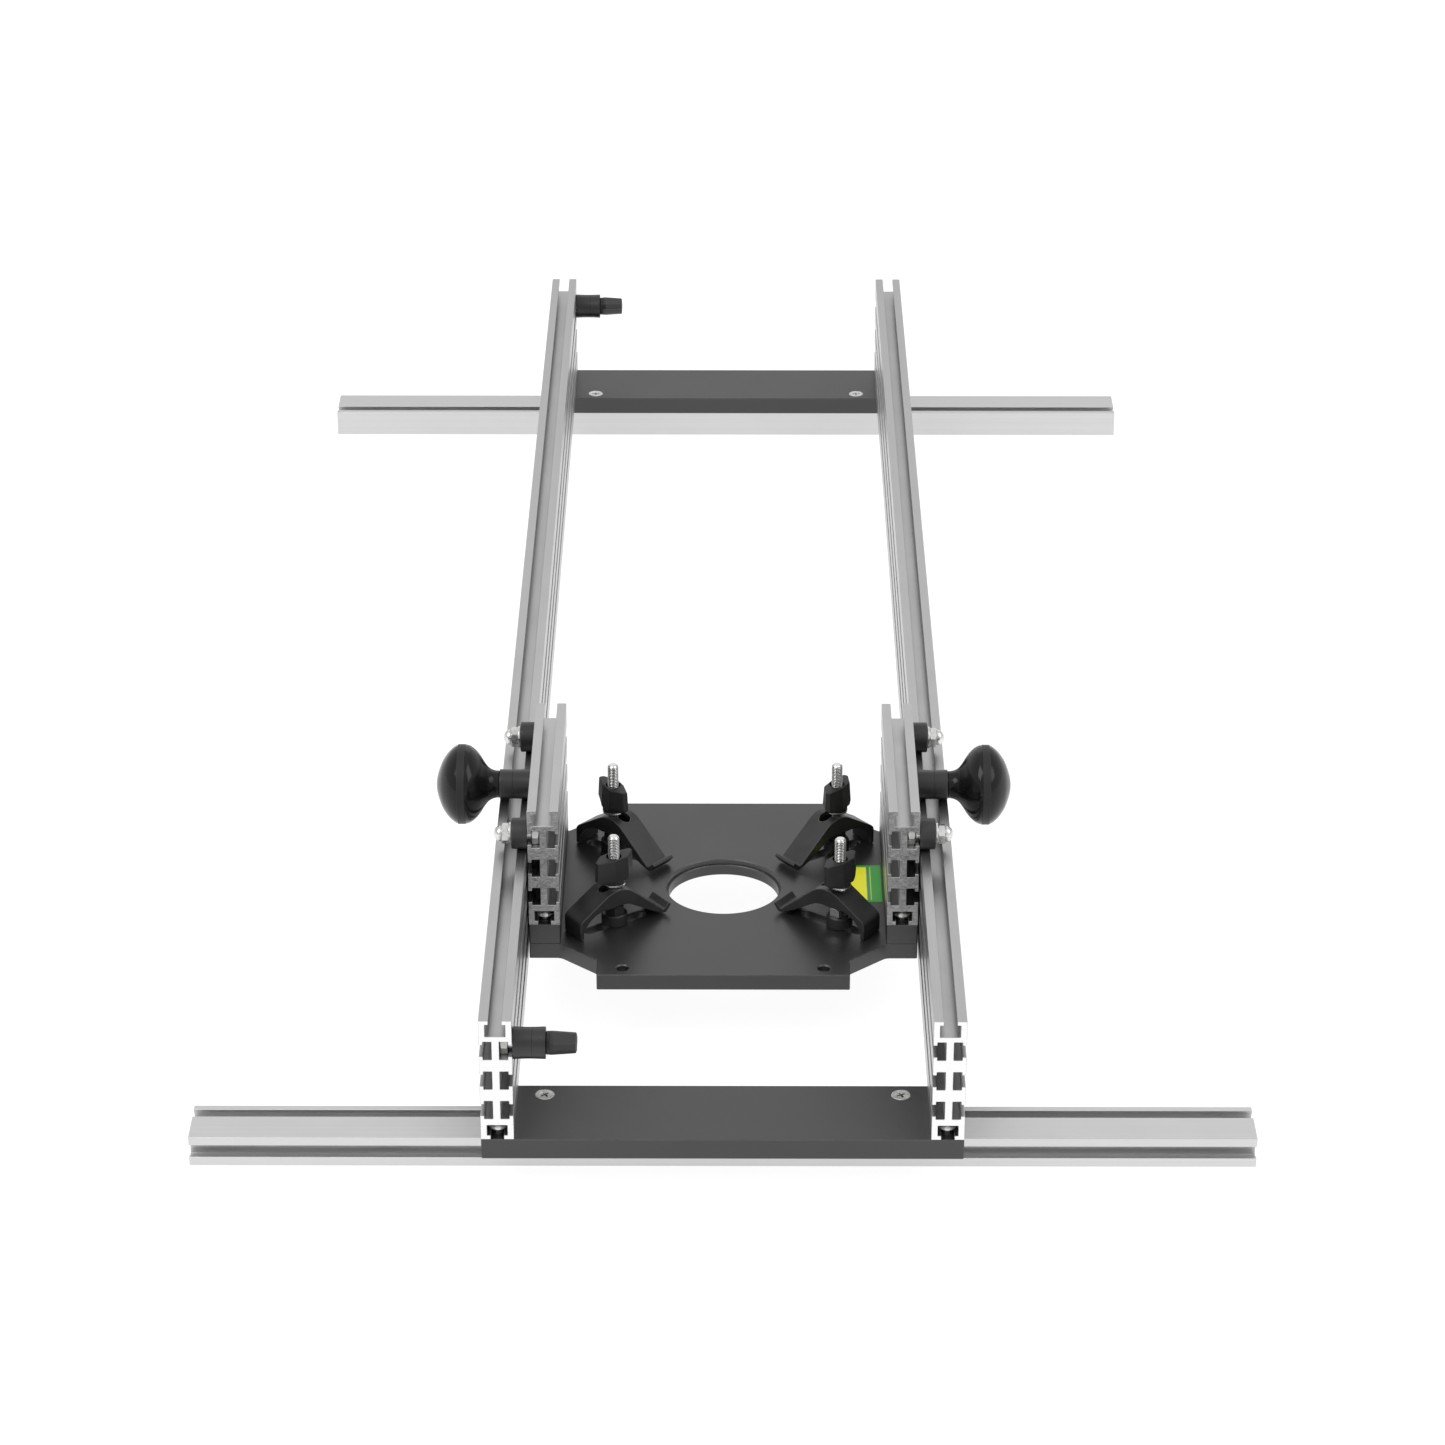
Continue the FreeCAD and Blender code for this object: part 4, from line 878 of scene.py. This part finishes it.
def dressed(node, material, edge_width, segments=3):
    """Keep a CAD node and give it a material and softened edges."""
    piece = nodes[node]
    piece.data.materials.clear()
    piece.data.materials.append(material)
    weld = piece.modifiers.new("joined", "WELD")
    weld.merge_threshold = 1e-6
    bevel = piece.modifiers.new("softened", "BEVEL")
    bevel.width = edge_width * MM
    bevel.segments = segments
    bevel.limit_method = "ANGLE"
    bevel.angle_limit = math.radians(38)
    bevel.harden_normals = True
    piece.data.shade_smooth()


def arm_blank():
    """Pressed channel arm along X: foot at -X, crown over the stud, lipped tip at +X."""
    side_view = [Vector((-34.5, 0.4)), Vector((-31.5, 0.4))]
    side_view += curve((-31.5, 5.4), (-24.8, 19.9), (-9.0, 18.0))
    side_view += curve((1.0, 18.4), (6.5, 18.5), (11.0, 15.4))
    side_view += curve((25.0, 6.7), (31.0, 3.1), (36.0, 1.6), 6)
    side_view += curve((37.2, 1.3), (38.8, 1.2), (39.8, 2.5), 6)
    side_view += [Vector((43.0, 6.6)), Vector((41.1, 8.4))]
    side_view += curve((38.5, 5.7), (37.0, 3.9), (35.3, 4.6), 6)
    side_view += curve((11.5, 25.6), (1.0, 35.2), (-11.5, 28.3), 20)
    side_view += curve((-31.0, 16.1), (-34.5, 14.2), (-34.5, 11.5), 6)
    half = 10.5
    softened = [(-0.7, half), (-0.35, half - 0.09), (-0.09, half - 0.35), (0, half - 0.7), (0, 0.7 - half),
                (-0.09, 0.35 - half), (-0.35, 0.09 - half), (-0.7, -half)]
    blank = Shape().at(turn=TO_FRONT)
    blank.slab([(rounded(side_view, 0.8, 4, math.radians(160)), softened)])
    channel = Shape().at(turn=TO_FRONT)
    hollow = [(-31.5, -1.0), (31.5, -1.0), (31.5, 4.4), (8.8, 23.6), (2.6, 28.3), (-4.6, 28.3), (-10.6, 25.0),
              (-31.5, 12.6)]
    channel.slab([([Vector(point) for point in hollow], [(0, 8.0), (0, -8.0)])])
    stud_slot = Shape()
    stud_slot.slab([(stadium(10.2, 4.4, (-1.5, 0), 0.0), [(0, 40.0), (0, 5.0)])])
    return carved(blank, [channel, stud_slot])


def clamp(end, side):
    prefix = f"clamp_{END_NAMES[end]}_{SIDE_NAMES[side]}_"
    inward = inward_angle(end, side)
    turn = Matrix.Rotation(inward, 4, "Z")
    x = CLAMP_X * side - STUD_SHIFT[end, side] * math.cos(inward)
    y = CARRIAGE_Y + CLAMP_Y * end - STUD_SHIFT[end, side] * math.sin(inward)
    post = Matrix.Translation((x * MM, y * MM, 0)) @ turn
    stud = Shape().at(x, y, ROUTER_PLATE_Z - MOVING_GAP, turn)
    hex_head(stud)
    thread_start, length = 12, 81.5
    stud.turned([(0, 0), (3.95, 0), (3.95, thread_start), (3.4, thread_start)])
    stud.turned(threaded_rows(thread_start, length, 3.98) + [(2.7, length), (0, length - 0.05)], 40)
    stud.write(prefix + "stud_threaded", STEEL, prefix + "post", [prefix + "stud"], "bright_steel", 50)
    collar = Shape().at(x, y, DECK_Z + MOVING_GAP, turn)
    collar.turned([(BOLT_HOLE_RADIUS, 0.3), (4.6, 0), (8.7, 0), (9.3, 0.6), (9.3, 7.6), (9.1, 8.3),
                   (8.5, COLLAR_HEIGHT), (4.6, COLLAR_HEIGHT), (BOLT_HOLE_RADIUS, COLLAR_HEIGHT - 0.3),
                   (BOLT_HOLE_RADIUS, 0.3)])
    collar.write(prefix + "collar_turned", ROLLER_BLACK, prefix + "post", [prefix + "collar"], "satin_black")
    bright = (end, side) == (FRONT, RIGHT)
    nut = Shape().at(x, y, DECK_Z + MOVING_GAP + COLLAR_HEIGHT, turn)
    nut.turned(hex_rows(HEX_FLAT, 0, NUT_HEIGHT, THREAD_BORE_RADIUS), 72)
    nut.write(prefix + "base_nut_turned", STEEL if bright else NUT_BLACK, prefix + "post",
              [prefix + "base_nut"], "bright_steel" if bright else "black_steel")
    arm = Shape(ARM.copy())
    arm_place = post @ turn_about("Z", ARM_TURN[end, side])
    arm_place = arm_place @ Matrix.Translation((ARM_SHIFT[end, side] * MM, 0, DECK_Z * MM))
    bmesh.ops.transform(arm.mesh, matrix=arm_place, verts=arm.mesh.verts)
    arm.write(prefix + "arm_pressing", ARM_BLACK, prefix + "arm", [prefix + "arm"], "black_steel", 40)
    washer_z = DECK_Z + ARM_CROWN + MOVING_GAP
    washer = Shape().at(x, y, washer_z, turn)
    washer.turned(ring_rows(BOLT_HOLE_RADIUS, WASHER_RADIUS, 0, WASHER_THICKNESS))
    washer.write(prefix + "washer_turned", STEEL, prefix + "washer", [prefix + "washer"], "bright_steel")
    wing_z = washer_z + WASHER_THICKNESS + MOVING_GAP / 2
    place = placed(x, y, wing_z, turn_about("Z", WING_NUT_TURN[end, side]))
    wing_nut(prefix + "wing_nut_moulding", place, prefix + "wing_nut", prefix + "wing_nut")


def stop(end):
    prefix = f"stop_{END_NAMES[end]}_"
    y = STOP_Y * end
    turn = outward(RIGHT)
    bolt = Shape().at(STOP_FACE_X - 2.9, y, STOP_Z, turn)
    hex_head(bolt)
    thread_start, length = 25, 42
    bolt.turned([(0, 0), (3.9, 0), (3.9, thread_start)])
    bolt.turned(threaded_rows(thread_start, length, 3.95) + [(0, length - 0.05)], 40)
    bolt.write(prefix + "bolt_threaded", STEEL, prefix + "bolt", [prefix + "bolt"], "bright_steel", 50)
    ring = Shape().at(STOP_FACE_X, y, STOP_Z, turn)
    ring.turned(sleeve_rows(STOP_SLEEVE_LENGTH), 96)
    ring.write(prefix + "sleeve_moulding", SLEEVE_BLACK, prefix + "sleeve", [prefix + "sleeve"],
               "satin_black")
    knob_x = STOP_FACE_X + STOP_SLEEVE_LENGTH + MOVING_GAP
    place = placed(knob_x, y, STOP_Z, turn_about("X", STOP_KNOB_TURN) @ turn)
    wing_nut(prefix + "knob_moulding", place, prefix + "knob", prefix + "knob")


# ---------------------------------------------------------------- stage

def floor():
    look = Look("pale_floor", grey(0.2), 0.8, specular=0.0)
    patch = look.noise((3.0, 3.0, 3.0), detail=2.0)
    look.colour(look.mix(patch, (0.19, 0.19, 0.19, 1.0), (0.22, 0.22, 0.22, 1.0)))
    look.shader.inputs["Emission Color"].default_value = (1.0, 1.0, 1.0, 1.0)
    look.shader.inputs["Emission Strength"].default_value = 0.93
    data = bpy.data.meshes.new("floor")
    reach = 14.0
    corners = [(-reach, -reach, 0), (reach, -reach, 0), (reach, reach, 0), (-reach, reach, 0)]
    data.from_pydata(corners, [], [(0, 1, 2, 3)])
    data.materials.append(look.material)
    plane = bpy.data.objects.new("floor", data)
    bpy.context.scene.collection.objects.link(plane)


def softbox(name, location, target, width, height, power):
    data = bpy.data.lights.new(name, "AREA")
    data.shape = "RECTANGLE"
    data.size = width
    data.size_y = height
    data.energy = power
    lamp = bpy.data.objects.new(name, data)
    lamp.location = location
    lamp.rotation_euler = (Vector(target) - Vector(location)).to_track_quat("-Z", "Y").to_euler()
    bpy.context.scene.collection.objects.link(lamp)


def studio():
    world = bpy.data.worlds.new("studio")
    world.use_nodes = True
    tree = world.node_tree
    background = tree.nodes["Background"]
    coordinates = tree.nodes.new("ShaderNodeTexCoord")
    split = tree.nodes.new("ShaderNodeSeparateXYZ")
    ramp = tree.nodes.new("ShaderNodeValToRGB")
    tree.links.new(coordinates.outputs["Generated"], split.inputs[0])
    tree.links.new(split.outputs["Z"], ramp.inputs["Fac"])
    tree.links.new(ramp.outputs["Color"], background.inputs["Color"])
    stops = ((0.0, 0.80), (0.25, 0.78), (0.6, 0.70), (1.0, 1.0))
    elements = ramp.color_ramp.elements
    while len(elements) < len(stops):
        elements.new(0.5)
    for element, (position, level) in zip(elements, stops):
        element.position = position
        element.color = (level, level, level, 1.0)
    background.inputs["Strength"].default_value = 0.95
    bpy.context.scene.world = world
    softbox("key", (-2.2, -1.8, 3.2), (0, -0.2, 0), 2.4, 2.4, 60)
    softbox("fill", (2.6, -1.2, 2.6), (0, 0, 0), 2.0, 2.6, 35)
    softbox("back", (0.0, 3.6, 2.4), (0, 0, 0.1), 4.0, 1.6, 8)
    bpy.context.scene.view_settings.view_transform = "Standard"


def camera():
    data = bpy.data.cameras.new("camera")
    data.sensor_width = 36.0
    data.lens = 113.36
    data.clip_start = 0.1
    data.clip_end = 60.0
    view = bpy.data.objects.new("camera", data)
    view.location = (0.0053, -3.2646, 1.6131)
    view.rotation_euler = (math.radians(90 - 26.185), math.radians(-0.019), math.radians(0.131))
    bpy.context.scene.collection.objects.link(view)
    bpy.context.scene.camera = view


# ---------------------------------------------------------------- assembly

for rail_side in (LEFT, RIGHT):
    side_name = SIDE_NAMES[rail_side]
    tall_rail("rail_" + side_name, RAIL_X * rail_side, 0, RAIL_Z, RAIL_LENGTH, "frame", RAIL_METAL)
    tall_rail("short_rail_" + side_name, SHORT_RAIL_X * rail_side, CARRIAGE_Y, SHORT_RAIL_Z, SHORT_LENGTH,
              "carriage", SHORT_RAIL_METAL_SHADED_ENDS)
    spacer(rail_side)
for frame_end in (FRONT, REAR):
    cross_rail(frame_end)
    cross_plate(frame_end)
    stop(frame_end)
router_plate()
plate_label()
base_fasteners()
carriage_fasteners()
handles()
rollers()
ARM = arm_blank()
for clamp_end, clamp_side in CORNERS:
    clamp(clamp_end, clamp_side)
ARM.free()
dressed("cross_plate_slot_nuts", STEEL, 0.4, 2)
dressed("roller_bushes", STEEL, 0.2, 2)
floor()
studio()
camera()
